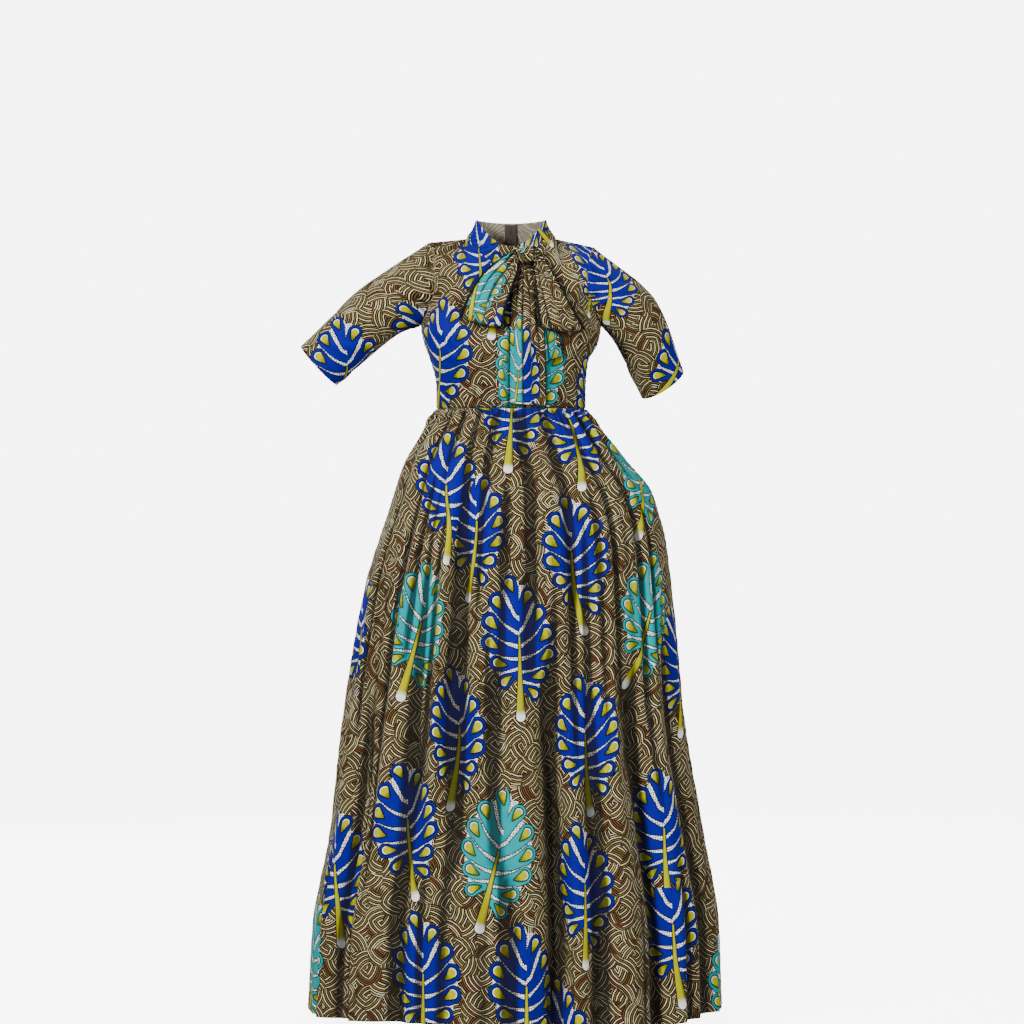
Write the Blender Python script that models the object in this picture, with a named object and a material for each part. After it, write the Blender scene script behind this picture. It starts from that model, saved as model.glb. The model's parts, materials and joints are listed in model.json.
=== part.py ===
"""A floor-length wax-print maxi dress, held out in its worn shape with nothing inside it.

The bodice has a front, two back halves, a band collar with a tied bow and set-in
half sleeves. The gathered skirt has a front and two back halves, with a pocket in
each side seam. A concealed zip closes the centre back.

Left and right are as seen from the front. The frame is +Z up, with the front
towards -Y. The origin lies midway between the two points where the shoulder seams
meet the collar. Tables and sizes are in millimetres and meshes are in metres.
"""

import math

import bmesh
import bpy
import numpy as np
from mathutils import Vector
from mathutils.bvhtree import BVHTree

MM = 0.001

# Cloth
WALL = 1.5              # thickness of a cloth wall
BAG_WALL = 1.0          # thickness of a pocket bag
SEAM = 0.15             # each panel's edge stands this far back from its seam line
SLEEVE_SEAM = 0.35      # a sleeve's, where it turns sharply at the armpit
LAY = 0.8               # clearance under cloth that lies on other cloth
LOOP_LAY = 2.0          # and under the bow's loops, which stand more freely
LEFT, RIGHT = -1, 1
FRONT, BACK = -1, 1

# Bodice
WAIST_Z = -321.0
SECTION_POWER = 2.3     # how square the body's sections are, 2 being an ellipse
HALF_COLUMNS = 10       # columns in half of the front, and in each back half
NECK_COLUMN = 4         # the column that runs up to the neck point
LOW_ROW_COUNT = 6       # rows from the waist to the armpit
HIGH_ROW_COUNT = 10     # rows from the armpit to the shoulder tip
SHOULDER_TIP = (155.0, 5.0, -4.0)
NECK_POINT = (86.0, 5.0, 3.0)
NECK_FRONT = (-61.0, -53.0)      # y and z of the neckline at the centre front
NECK_BACK = (60.0, -10.0)
RIGHT_DROP = 8.0        # how much lower the right shoulder tip is held

# Collar
COLLAR_TOP_X = 67.0
COLLAR_TOP_SIDE = (5.0, 39.0)
COLLAR_TOP_FRONT = (-50.0, -15.0)
COLLAR_TOP_BACK = (55.0, 35.0)
COLLAR_ROWS = 3
COLLAR_HOLLOW = 2.5     # how far the band dips inwards between its two edges

# Sleeves
SLEEVE_ROWS = 8
MID_RING_RUN = 0.42

# Skirt
SKIRT_LENGTH = 1132.0
SKIRT_HALF_COLUMNS = 60
GATHER_COUNT = 24
GATHER_HEIGHT = 6.5
GATHER_UNEVEN = 0.3     # share by which the gathers differ in height round the waist
GATHER_FADE = (150.0, 45.0)      # how far down they run, and how unevenly
GATHER_AT_SEAM = 0.12   # share of their height in the waist seam itself
GATHER_FULL_BY = 22.0   # and how far below it they have all of it
GATHER_DRIFT = ((3, 0.055, 0.5), (5, 0.035, 2.0))    # waves round, radians, start
FOLD_EASE_IN = 260.0    # length over which a long fold deepens
FOLD_EASE_OUT = 300.0   # and over which it dies away
CALM_WIDTH = math.radians(13)    # how far round from a side seam its pocket stills the folds
CALM_SHARE = 0.9
CALM_BETWEEN = ((15, 45), (210, 330))    # where that starts and ends below the waist

# Side seam pockets
SLIT_TOP = 50.0         # below the waist
SLIT_BOTTOM = 200.0
SLIT_OPEN = {LEFT: 9.0, RIGHT: 21.0}
SLIT_REACH = 6          # columns that move with the slit's edge
SLIT_SHARES = {FRONT: 0.62, BACK: 0.38}
SLIT_OUT = {FRONT: 0.3, BACK: 0.09}      # how far each lip stands out, by the slit's gape
BAG_GAP = 0.5
BAG_FULL = {LEFT: 0.55, RIGHT: 1.0}      # how thick each bag is held
BAG_END_INSET = 6.0     # the bag's mouth is this much shorter than the slit at each end
BAG_END_SEAM = 5.0      # and its seam is this wide there
BAG_TURN = math.radians(25)      # how far a bag turns from straight in to the front
BAG_TURN_BY = 85.0      # and how far in it has turned fully

# Bow
KNOT = (28.0, -71.0, -31.0)
KNOT_HALF = (16.2, 12.0, 17.0)
KNOT_PINCH = (0.10, 0.28)        # how deep the crease down it is, and its half width
LOOP_COLUMNS = 5
TAIL_COLUMNS = 6

# Zip
TAPE_HALF = 12.0
TAPE_THICK = 0.8
TAPE_BELOW_WAIST = 130.0
SLIDER_Z = 26.0         # middle of the slider
SLIDER_SIZE = (7.0, 3.2, 11.0)
# The slider's body seen from behind, in shares of its half width and its height.
SLIDER_OUTLINE = ((0.60, 0.0), (0.72, 0.35), (1.0, 0.75), (0.84, 1.0))
PIN_RADIUS = 0.8
PIN_CLEAR = 0.2
KNUCKLE_RADIUS = 1.9
KNUCKLE_WIDTH = 3.0
EAR_THICK = 1.2
EAR_CLEAR = 0.25
EAR_HALF = 1.7          # half the height of an ear
EAR_PAST_PIN = 1.5      # how far it reaches past the pin's middle
PULL_NECK = 0.28        # share of the pull's length that is narrow
PULL_LENGTH = 21.0
PULL_WIDTH = 6.0
PULL_THICK = 1.2

# Colours, as the cloth averages out from a few steps away
CLOTH = (0.050, 0.052, 0.110)
CLOTH_INSIDE = (0.085, 0.080, 0.120)
TAPE_BLACK = (0.020, 0.020, 0.022)
ZIP_METAL = (0.060, 0.055, 0.050)


def table(columns, rows):
    """A table's columns by name, each an array with one value for a row."""
    values = np.array(rows, float)
    return {name: values[:, i] for i, name in enumerate(columns.split())}


# Bodice rows from the waist to the armpit. Run is measured up the side seam. The rows
# hang lower at the centre than at the side, to meet the armhole's curve squarely.
LOW = table("run left right side_z mid_z front back", (
    (0, 141, 141, -321, -321, 100, 88),
    (47, 142, 142, -274, -282, 109, 91),
    (93, 153, 147, -228, -246, 121, 96),
    (131, 166, 166, -190, -216, 128, 100),
    (158, 171, 171, -163, -195, 130, 103),
))

# Bodice rows from the armpit to the shoulder, with their place at the armhole's edge,
# on the column that runs up to the neck point, and at the centre.
HIGH_FRONT = table("run edge_x edge_y edge_z neck_x neck_y neck_z mid_y mid_z corner", (
    (180, 168, -21, -157, 136, -90, -170, -128, -179, 0),
    (208, 156, -42, -130, 121, -91, -144, -119, -158, 0),
    (258, 145, -54, -86, 104, -80, -101, -99, -121, 0),
    (312, 148, -32, -37, 93, -47, -40, -77, -86, 0.5),
))
HIGH_BACK = table("run edge_x edge_y edge_z neck_x neck_y neck_z mid_y mid_z corner", (
    (180, 168, 21, -157, 138, 82, -168, 106, -174, 0),
    (208, 157, 45, -128, 122, 91, -138, 108, -147, 0),
    (258, 148, 58, -82, 105, 90, -90, 104, -101, 0),
    (312, 150, 38, -35, 94, 55, -31, 84, -50, 0.5),
))
TOP_RUN = 356.0

# Sleeve rings at half length and at the cuff: centre, size up and down, size front to
# back, slope below level and turn towards the back, in degrees.
SLEEVE_RINGS = {
    LEFT: table("x y z tall deep lean turn", (
        (241, 9, -130, 113, 116, 36, 4),
        (366, 24, -238, 101, 96, 42.7, 6),
    )),
    RIGHT: table("x y z tall deep lean turn", (
        (236, 22, -153, 112, 116, 46, 12),
        (290, 60, -272, 95, 98, 56, 16),
    )),
}

# Skirt sections: how far below the waist, and the reach to each side.
SKIRT = table("below left right front back", (
    (0, 141, 141, 100, 88),
    (20, 153, 157, 115, 102),
    (60, 177, 188, 137, 124),
    (100, 199, 216, 152, 140),
    (160, 220, 264, 172, 162),
    (250, 251, 294, 196, 190),
    (340, 275, 304, 214, 212),
    (570, 314, 321, 244, 250),
    (800, 343, 360, 268, 282),
    (980, 377, 392, 288, 308),
    (1132, 385, 398, 300, 328),
))
SKIRT_ROWS = (0, 12, 30, 50, 87.5, 125, 162.5, 200, 265, 350, 460, 590, 730, 870, 1005, 1132)

# The skirt's long folds, as troughs: angle from the centre front at the waist and at
# the hem, where the fold starts and ends below the waist, its depth and half width.
SKIRT_FOLDS = table("angle hem_angle start end depth width", (
    (-17, -14, 60, 900, 32, 21),
    (-7, -5, 150, 800, 13, 15),
    (3, 2, 90, 640, 15, 16),
    (12, 9, 330, 1500, 29, 24),
    (24, 21, 110, 1300, 19, 22),
    (44, 40, 420, 1500, 24, 30),
    (-33, -31, 200, 1500, 16, 28),
    (-58, -55, 480, 1500, 22, 32),
    (70, 66, 300, 1500, 14, 30),
    (-78, -80, 160, 900, 10, 26),
    (104, 106, 260, 1500, 20, 30),
    (126, 124, 120, 1500, 26, 26),
    (147, 143, 90, 900, 22, 24),
    (164, 160, 330, 1500, 25, 28),
    (-172, -175, 140, 1200, 18, 24),
    (-154, -150, 80, 1500, 28, 26),
    (-134, -136, 380, 1500, 22, 30),
    (-112, -115, 200, 1500, 24, 30),
))

# Where the hem dips between the folds: angle, how far down, half width in degrees.
HEM_DIPS = table("angle drop width", (
    (-3, 12, 9), (34, 13, 20), (-62, 5, 18), (120, 9, 22), (-145, 8, 20), (-176, 5, 14),
))

# A pocket bag's rings inside the mouth: how far in, how far down, half height and
# half thickness.
BAG_RINGS = table("into down half_tall half_thick", (
    (18, 6, 80, 11), (45, 18, 90, 12), (85, 34, 98, 11), (120, 46, 88, 8), (142, 50, 60, 4),
))

# A bow loop seen from the front, from the knot to its folded end: its outer and its
# inner edge.
LOOP_EDGES = {
    LEFT: table("along outer_x outer_z inner_x inner_z", (
        (0.0, 11.6, -17, 12.2, -42),
        (0.12, -8, -31, 12, -62),
        (0.33, -52, -67, 5, -90),
        (0.66, -84, -121, -9, -134),
        (1.0, -95, -150, -15, -170),
    )),
    RIGHT: table("along outer_x outer_z inner_x inner_z", (
        (0.0, 44.4, -17, 43.8, -42),
        (0.12, 60, -37, 44, -62),
        (0.33, 83, -74, 46, -90),
        (0.66, 113, -130, 49, -134),
        (1.0, 139, -174, 53, -170),
    )),
}
# The way of the ribbon round a loop: out along the front layer, round the fold and
# back along the layer that lies on the dress, with how far it stands off that layer.
LOOP_WAY = table("along lift", (
    (0.0, 9), (0.1, 11), (0.22, 16), (0.38, 21), (0.56, 24), (0.74, 24), (0.88, 22),
    (0.965, 17), (1.0, 10), (0.975, 4), (0.92, 1), (0.76, 0), (0.56, 0), (0.36, 0),
    (0.18, 0), (0.0, 0),
))
LOOP_ARCH = 5.0         # how much the front layer crowns across its width
LOOP_ROOT_Y = -66.0     # where the back layer leaves the knot
LOOP_BOW = 8.0          # how far the middle of the folded end hangs down

# The tails, from the knot down: their left and right edges.
TAIL_EDGES = {
    LEFT: table("z left right", (
        (-49.5, 17, 37), (-64, 11, 43), (-90, 4, 52), (-140, -1, 60), (-200, -3, 64),
        (-260, -4, 66), (-315, -4, 66),
    )),
    RIGHT: table("z left right", (
        (-49.0, 21, 40), (-64, 22, 50), (-90, 24, 64), (-140, 27, 80), (-200, 30, 91),
        (-246, 32, 98),
    )),
}
TAIL_SLANT = {LEFT: 4.0, RIGHT: -20.0}   # how much lower the right corner hangs
TAIL_ROWS = {LEFT: 23, RIGHT: 17}
TAIL_REACH = {LEFT: 13.0, RIGHT: 14.0}   # how far round a point what is under it counts
LOOP_REACH = 10.0
TAIL_WAVE = 2.2         # two soft folds down a tail


def smooth(keys, values, at):
    """Read a smooth curve without overshoot, through values at keys, at the places at."""
    keys, values = np.asarray(keys, float), np.asarray(values, float)
    at = np.clip(np.asarray(at, float), keys[0], keys[-1])
    step = np.diff(keys)
    tail = (1,) * (values.ndim - 1)
    rise = np.diff(values, axis=0) / step.reshape((-1,) + tail)
    slope = np.zeros_like(values)
    same_way = rise[:-1] * rise[1:] > 0
    total = np.where(same_way, rise[:-1] + rise[1:], 1.0)
    slope[1:-1] = np.where(same_way, 2 * rise[:-1] * rise[1:] / total, 0.0)
    slope[0], slope[-1] = rise[0], rise[-1]
    i = np.clip(np.searchsorted(keys, at, side="right") - 1, 0, len(step) - 1)
    t = ((at - keys[i]) / step[i]).reshape(at.shape + tail)
    h = step[i].reshape(at.shape + tail)
    return ((1 + 2 * t) * (1 - t) ** 2 * values[i] + t * (1 - t) ** 2 * h * slope[i]
            + t * t * (3 - 2 * t) * values[i + 1] + t * t * (t - 1) * h * slope[i + 1])


def ease(low, high, at):
    """A soft step from 0 at low to 1 at high."""
    t = np.clip((at - low) / (high - low), 0.0, 1.0)
    return t * t * (3 - 2 * t)


def unit(vectors):
    return vectors / np.linalg.norm(vectors, axis=-1, keepdims=True)


def mirrored(point, side):
    """A point given for the right side, on either side."""
    return np.array(point, float) * (side, 1, 1)


def neckline(start, middle, share):
    """An arc round the neck from a side point to the centre of the front or back."""
    quarter = np.asarray(share) * math.pi / 2
    x = start[0] * np.cos(quarter)
    y = start[1] + (middle[0] - start[1]) * np.sin(quarter)
    z = start[2] + (middle[1] - start[2]) * np.sin(quarter) ** 2
    return np.stack([x, y, z], -1)


def cornered_row(edge, neck, middle, columns):
    """A row that runs straight from the armhole to the neck column, then round the neck."""
    turn = NECK_COLUMN / HALF_COLUMNS
    straight = np.clip(columns / turn, 0, 1)[:, None]
    row = edge + (neck - edge) * straight
    round_neck = neckline(neck, middle, np.clip((columns - turn) / (1 - turn), 0, 1))
    return np.where(columns[:, None] > turn, round_neck, row)


def flowing_row(edge, neck, middle, columns):
    """A row that flows through the armhole's edge, the neck column and the centre."""
    turn = NECK_COLUMN / HALF_COLUMNS
    across = np.array([-1.0, 1.0, 1.0])
    centre = np.array([0.0, middle[0], middle[1]])
    keys = (0, turn, 1, 2 - turn, 2)
    return smooth(keys, [edge, neck, centre, neck * across, edge * across], columns)


def bodice_half(side, face, columns, runs):
    """Half of the bodice's front or back, edge to centre, as rows of outer points."""
    rows, places = [], []
    width = LOW["left"] if side == LEFT else LOW["right"]
    depth = LOW["front"] if face == FRONT else LOW["back"]
    power = 2 / SECTION_POWER
    around = columns * math.pi / 2
    for i, run in enumerate(LOW["run"]):
        x = side * width[i] * np.abs(np.cos(around)) ** power
        y = face * depth[i] * np.sin(around) ** power
        fall = LOW["side_z"][i] - LOW["mid_z"][i]
        z = LOW["side_z"][i] - fall * np.sin(around) ** 0.6
        rows.append(np.stack([x, y, z], -1))
        places.append(run)
    high = HIGH_FRONT if face == FRONT else HIGH_BACK
    middle_top = NECK_FRONT if face == FRONT else NECK_BACK
    drop = RIGHT_DROP if side == RIGHT else 0.0
    for i, run in enumerate(high["run"]):
        edge = mirrored((high["edge_x"][i], high["edge_y"][i], high["edge_z"][i]), side)
        neck = mirrored((high["neck_x"][i], high["neck_y"][i], high["neck_z"][i]), side)
        middle = (high["mid_y"][i], high["mid_z"][i])
        edge[2] -= drop * ease(LOW["run"][-1], TOP_RUN, run)
        flowing = flowing_row(edge, neck, middle, columns)
        cornered = cornered_row(edge, neck, middle, columns)
        rows.append(flowing + (cornered - flowing) * high["corner"][i])
        places.append(run)
    tip = mirrored(SHOULDER_TIP, side) - (0, 0, drop)
    neck = mirrored(NECK_POINT, side)
    rows.append(cornered_row(tip, neck, middle_top, columns))
    places.append(TOP_RUN)
    grid = smooth(places, np.array(rows), runs)
    grid[:, -1, 0] = np.where(columns[-1] == 1, 0.0, grid[:, -1, 0])
    return grid


def bodice_runs(low_count, high_count):
    low_top = LOW["run"][-1]
    low = np.linspace(0, low_top, low_count + 1)
    high = np.linspace(low_top, TOP_RUN, high_count + 1)[1:]
    return np.concatenate([low, high])


def bodice_grids():
    """The bodice's panels, with columns that run left, front, right and back."""
    columns = np.linspace(0, 1, HALF_COLUMNS + 1)
    runs = bodice_runs(LOW_ROW_COUNT, HIGH_ROW_COUNT)
    front_left = bodice_half(LEFT, FRONT, columns, runs)
    front_right = bodice_half(RIGHT, FRONT, columns, runs)[:, ::-1]
    back_right = bodice_half(RIGHT, BACK, columns, runs)
    back_left = bodice_half(LEFT, BACK, columns, runs)[:, ::-1]
    front = np.concatenate([front_left, front_right[:, 1:]], axis=1)
    return front, back_left, back_right


def collar_grid(base):
    """The band collar, from its base ring at the neckline to its top ring."""
    quarter = len(base) // 4
    share = np.linspace(0, 1, quarter + 1)
    rings = []
    for side, middle, backwards in (
            (LEFT, COLLAR_TOP_BACK, True), (LEFT, COLLAR_TOP_FRONT, False),
            (RIGHT, COLLAR_TOP_FRONT, True), (RIGHT, COLLAR_TOP_BACK, False)):
        start = mirrored((COLLAR_TOP_X, *COLLAR_TOP_SIDE), side)
        arc = neckline(start, middle, share)
        rings.append(arc[::-1] if backwards else arc)
    top = np.concatenate([rings[0]] + [ring[1:] for ring in rings[1:]])
    top[[0, -1], 0] = 0.0
    rise = np.linspace(0, 1, COLLAR_ROWS + 1)[:, None, None]
    lean_in = COLLAR_HOLLOW * np.sin(rise * math.pi)
    grid = base + (top - base) * rise
    middle = grid.mean(axis=1, keepdims=True)
    grid[..., :2] -= unit(grid[..., :2] - middle[..., :2]) * lean_in
    grid[:, [0, -1], 0] = 0.0
    return grid


def sleeve_grid(side, armhole):
    """A set-in sleeve from the armhole's points out to the cuff."""
    rings = SLEEVE_RINGS[side]
    around = np.linspace(0, 2 * math.pi, len(armhole) + 1)[:-1, None]
    keys = [armhole]
    for i in range(len(rings["x"])):
        lean, turn = math.radians(rings["lean"][i]), math.radians(rings["turn"][i])
        axis = np.array([side * math.cos(lean) * math.cos(turn), math.sin(turn),
                         -math.sin(lean) * math.cos(turn)])
        up = np.array([side * math.sin(lean), 0.0, math.cos(lean)])
        front = side * np.cross(axis, up)
        centre = mirrored((rings["x"][i], rings["y"][i], rings["z"][i]), side)
        keys.append(centre + up * np.cos(around) * rings["tall"][i] / 2
                    + front * np.sin(around) * rings["deep"][i] / 2)
    runs = np.linspace(0, 1, SLEEVE_ROWS + 1)
    grid = smooth((0, MID_RING_RUN, 1), np.array(keys), runs)
    return grid if side == RIGHT else grid[:, ::-1]


def skirt_base(angle, below):
    """The skirt's plain sections, before any fold, at angles from the centre front."""
    sine, cosine = np.sin(angle), np.cos(angle)
    reach = {name: smooth(SKIRT["below"], SKIRT[name], below)
             for name in ("left", "right", "front", "back")}
    power = 2 / SECTION_POWER
    wide = np.where(sine < 0, reach["left"], reach["right"])
    deep = np.where(cosine > 0, reach["front"], reach["back"])
    x = wide * np.sign(sine) * np.abs(sine) ** power
    y = -deep * np.sign(cosine) * np.abs(cosine) ** power
    return x, y


def angle_between(angle, other):
    return (angle - other + math.pi) % (2 * math.pi) - math.pi


def fold_shape(distance):
    """A soft trough of depth 1 with a low ridge on each side."""
    return -np.exp(-distance ** 2) + 0.4 * np.exp(-((np.abs(distance) - 1.8) / 0.8) ** 2)


def skirt_relief(angle, below):
    """How far the skirt stands out of its plain section: waist gathers and long folds."""
    swing = angle + sum(reach * np.sin(waves * angle + start)
                        for waves, reach, start in GATHER_DRIFT)
    fade = GATHER_FADE[0] + GATHER_FADE[1] * np.sin(4 * angle + 1.0)
    rise = GATHER_AT_SEAM + (1 - GATHER_AT_SEAM) * ease(0, GATHER_FULL_BY, below)
    strength = rise * np.exp(-(below / fade) ** 1.6)
    height = GATHER_HEIGHT * (1 + GATHER_UNEVEN * np.sin(7 * angle + 0.7))
    beside_seam = angle_between(np.abs(angle_between(angle, 0)), math.pi / 2)
    calm = CALM_SHARE * np.exp(-(beside_seam / CALM_WIDTH) ** 2)
    calm = calm * ease(*CALM_BETWEEN[0], below) * (1 - ease(*CALM_BETWEEN[1], below))
    relief = height * strength * np.cos(GATHER_COUNT * swing)
    radius = smooth(SKIRT["below"], (SKIRT["left"] + SKIRT["right"] + SKIRT["front"]
                                     + SKIRT["back"]) / 4, below)
    for i, depth in enumerate(SKIRT_FOLDS["depth"]):
        down = below / SKIRT_LENGTH
        top, hem = SKIRT_FOLDS["angle"][i], SKIRT_FOLDS["hem_angle"][i]
        centre = np.radians(top + (hem - top) * down)
        distance = angle_between(angle, centre) * radius / SKIRT_FOLDS["width"][i]
        start, end = SKIRT_FOLDS["start"][i], SKIRT_FOLDS["end"][i]
        length = ease(start, start + FOLD_EASE_IN, below)
        length = length * (1 - ease(end - FOLD_EASE_OUT, end, below))
        relief = relief + depth * length * fold_shape(distance)
    return relief * (1 - calm)


def hem_drop(angle):
    drop = np.zeros_like(angle)
    for i, depth in enumerate(HEM_DIPS["drop"]):
        away = angle_between(angle, math.radians(HEM_DIPS["angle"][i]))
        drop = drop + depth * np.exp(-(away / math.radians(HEM_DIPS["width"][i])) ** 2)
    return drop


def skirt_grid(angles, depths):
    """The skirt's outer points, rows from the waist down and columns round the body."""
    angle, below = np.meshgrid(angles, depths)
    x, y = skirt_base(angle, below)
    ahead_x, ahead_y = skirt_base(angle + 0.01, below)
    behind_x, behind_y = skirt_base(angle - 0.01, below)
    way = unit(np.stack([ahead_x - behind_x, ahead_y - behind_y], -1))
    relief = skirt_relief(angle, below)
    x = x + way[..., 1] * relief
    y = y - way[..., 0] * relief
    z = WAIST_Z - below - hem_drop(angle) * (below / SKIRT_LENGTH) ** 3
    return np.stack([x, y, z], -1)


def open_slit(grid, side, face, depths):
    """Move a panel's side edge and the columns beside it to hold its pocket slit open."""
    share = np.clip((depths - SLIT_TOP) / (SLIT_BOTTOM - SLIT_TOP), 0, 1)
    gape = SLIT_OPEN[side] * np.sin(share * math.pi)
    part = SLIT_SHARES[face]
    for column in range(SLIT_REACH):
        fade = (1 - column / SLIT_REACH) ** 2
        index = column if side * face > 0 else -1 - column
        grid[:, index, 1] += face * gape * part * fade
        grid[:, index, 0] += side * gape * SLIT_OUT[face] * fade


def skirt_grids():
    """The skirt's front and back halves, columns left to front to right to back."""
    depths = np.array(SKIRT_ROWS, float)[::-1]
    quarter = math.pi / 2
    front = skirt_grid(np.linspace(-quarter, quarter, SKIRT_HALF_COLUMNS + 1), depths)
    back_columns = SKIRT_HALF_COLUMNS // 2 + 1
    right = skirt_grid(np.linspace(quarter, 2 * quarter, back_columns), depths)
    left = skirt_grid(np.linspace(-2 * quarter, -quarter, back_columns), depths)
    right[:, -1, 0] = left[:, 0, 0] = 0.0
    return front, left, right, depths


def panel(name, grid, loop=False, group="body"):
    """A piece of cloth as a grid of outer points, closed round on itself or not."""
    return {"name": name, "points": grid, "loop": loop, "group": group}


def face_normals(points, loop):
    """The direction that each cell of a grid faces."""
    if loop:
        points = np.concatenate([points, points[:, :1]], axis=1)
    one = points[1:, 1:] - points[:-1, :-1]
    two = points[1:, :-1] - points[:-1, 1:]
    return unit(np.cross(one, two))


def set_normals(panels):
    """Give each point the mean normal of the cells that meet there.

    Across a seam between two groups, the normal halves the angle between them.
    """
    sums = {}
    for piece in panels:
        points, cells = piece["points"], face_normals(piece["points"], piece["loop"])
        rows, columns = points.shape[:2]
        normals = np.zeros_like(points)
        for down in (0, 1):
            for over in (0, 1):
                place = (np.arange(cells.shape[1]) + over) % columns
                np.add.at(normals, (np.arange(rows - 1)[:, None] + down, place[None]), cells)
        piece["normals"] = normals
        for key, normal in zip(point_keys(points), normals.reshape(-1, 3)):
            groups = sums.setdefault(key, {})
            groups[piece["group"]] = groups.get(piece["group"], 0) + normal
    for piece in panels:
        shared = [sum(unit(part) for part in sums[key].values())
                  for key in point_keys(piece["points"])]
        piece["normals"] = unit(np.array(shared).reshape(piece["points"].shape))


def point_keys(points):
    return [tuple(key) for key in np.round(points.reshape(-1, 3), 2) + 0.0]


def pull_back(piece, edges, gap=SEAM):
    """Move the edges that are sewn back from their seam line, along the cloth."""
    points = piece["points"]
    for edge in edges.split():
        near, far = {"bottom": ((0,), (1,)), "top": ((-1,), (-2,)),
                     "first": ((slice(None), 0), (slice(None), 1)),
                     "last": ((slice(None), -1), (slice(None), -2))}[edge]
        points[near] = points[near] + unit(points[far] - points[near]) * gap


def wall_mesh(outer, inner, loop):
    """Points and faces of a closed wall between an outer and an inner grid.

    Both grids' cells are split along the same diagonal, so the wall stays even.
    """
    rows, columns = outer.shape[:2]
    points = np.concatenate([outer.reshape(-1, 3), inner.reshape(-1, 3)])
    spot = np.arange(rows * columns).reshape(rows, columns)
    shift = rows * columns
    faces = []
    spans = columns if loop else columns - 1
    for i in range(rows - 1):
        for j in range(spans):
            k = (j + 1) % columns
            a, b, c, d = spot[i, j], spot[i, k], spot[i + 1, k], spot[i + 1, j]
            for corners in ((a, b, c), (a, c, d)):
                faces.append(corners)
                faces.append(tuple(corner + shift for corner in reversed(corners)))
    rim = [[(spot[0, (j + 1) % columns], spot[0, j]) for j in range(spans)],
           [(spot[-1, j], spot[-1, (j + 1) % columns]) for j in range(spans)]]
    if not loop:
        rim.append([(spot[i, 0], spot[i + 1, 0]) for i in range(rows - 1)])
        rim.append([(spot[i + 1, -1], spot[i, -1]) for i in range(rows - 1)])
    for edge in rim:
        faces += [(a, b, b + shift, a + shift) for a, b in edge]
    return points, faces


def material(name, colour, roughness, metallic=0.0):
    made = bpy.data.materials.new(name)
    made.use_nodes = True
    shader = made.node_tree.nodes["Principled BSDF"]
    shader.inputs["Base Color"].default_value = (*colour, 1)
    shader.inputs["Roughness"].default_value = roughness
    shader.inputs["Metallic"].default_value = metallic
    return made


def add_object(name, points, faces, colour=CLOTH, roughness=0.75, metallic=0.0):
    """A named object from points in millimetres, with faces turned outwards."""
    mesh = bpy.data.meshes.new(name)
    mesh.from_pydata([tuple(p) for p in np.asarray(points) * MM], [],
                     [tuple(int(i) for i in face) for face in faces])
    shell = bmesh.new()
    shell.from_mesh(mesh)
    bmesh.ops.recalc_face_normals(shell, faces=shell.faces)
    shell.to_mesh(mesh)
    shell.free()
    mesh.shade_smooth()
    mesh.set_sharp_from_angle(angle=math.radians(50))
    mesh.materials.append(material(name, colour, roughness, metallic))
    thing = bpy.data.objects.new(name, mesh)
    bpy.context.scene.collection.objects.link(thing)
    return thing


def add_cloth(piece, thickness=WALL, colour=CLOTH):
    """A cloth wall, built inwards from its grid of outer points."""
    piece["inner"] = piece["points"] - piece["normals"] * thickness
    points, faces = wall_mesh(piece["points"], piece["inner"], piece["loop"])
    return add_object(piece["name"], points, faces, colour)


def surface_tree(grids):
    """A search tree over grids of points, to lay cloth on or behind them."""
    points, faces = [], []
    for grid in grids:
        rows, columns = grid.shape[:2]
        spot = np.arange(rows * columns).reshape(rows, columns) + len(points)
        points += [tuple(p) for p in grid.reshape(-1, 3)]
        for i in range(rows - 1):
            for j in range(columns - 1):
                a, b, c, d = spot[i, j], spot[i, j + 1], spot[i + 1, j + 1], spot[i + 1, j]
                faces += [(a, b, c), (a, c, d)]
    return BVHTree.FromPolygons(points, [tuple(map(int, face)) for face in faces])


def surface_y(tree, x, z, otherwise):
    hit = tree.ray_cast(Vector((x, -400.0, z)), Vector((0, 1, 0)))[0]
    return otherwise if hit is None else hit.y


def front_depth(tree, x, z, reach):
    """The y of a surface seen from the front, brought forward beside a step or a hollow."""
    seen = [surface_y(tree, x, z + step, None) for step in (0.0, -1.0, 1.0)]
    here = next(y for y in seen if y is not None)
    rise = 0.0
    for away in (reach / 2, reach):
        for turn in range(4):
            dx, dz = (away * wave(turn * math.pi / 4) for wave in (math.cos, math.sin))
            pair = surface_y(tree, x + dx, z + dz, here) + surface_y(tree, x - dx, z - dz, here)
            rise = max(rise, 2 * here - pair, 0.4 * (pair - 2 * here))
    return here - rise


def tail_panel(side, tree):
    """A tail of the bow, laid down the bodice on whatever is under it."""
    edges, slant = TAIL_EDGES[side], TAIL_SLANT[side]
    downs = np.linspace(edges["z"][0], edges["z"][-1], TAIL_ROWS[side])
    shares = np.linspace(0, 1, TAIL_COLUMNS + 1)
    grid = np.zeros((len(downs), len(shares), 3))
    for i, z in enumerate(downs):
        fall = (i / (len(downs) - 1)) ** 2
        left = smooth(-edges["z"], edges["left"], -z)
        right = smooth(-edges["z"], edges["right"], -z)
        for j, share in enumerate(shares):
            x, low = left + (right - left) * share, z - slant * share * fall
            soft = TAIL_WAVE * math.sin(share * 2 * math.pi) ** 2 * ease(60, 130, -z)
            y = front_depth(tree, x, low, TAIL_REACH[side]) - LAY - WALL - soft
            grid[i, j] = (x, y, low)
    name = "bow_tail_left" if side == LEFT else "bow_tail_right"
    return panel(name, grid[::-1])


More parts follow.
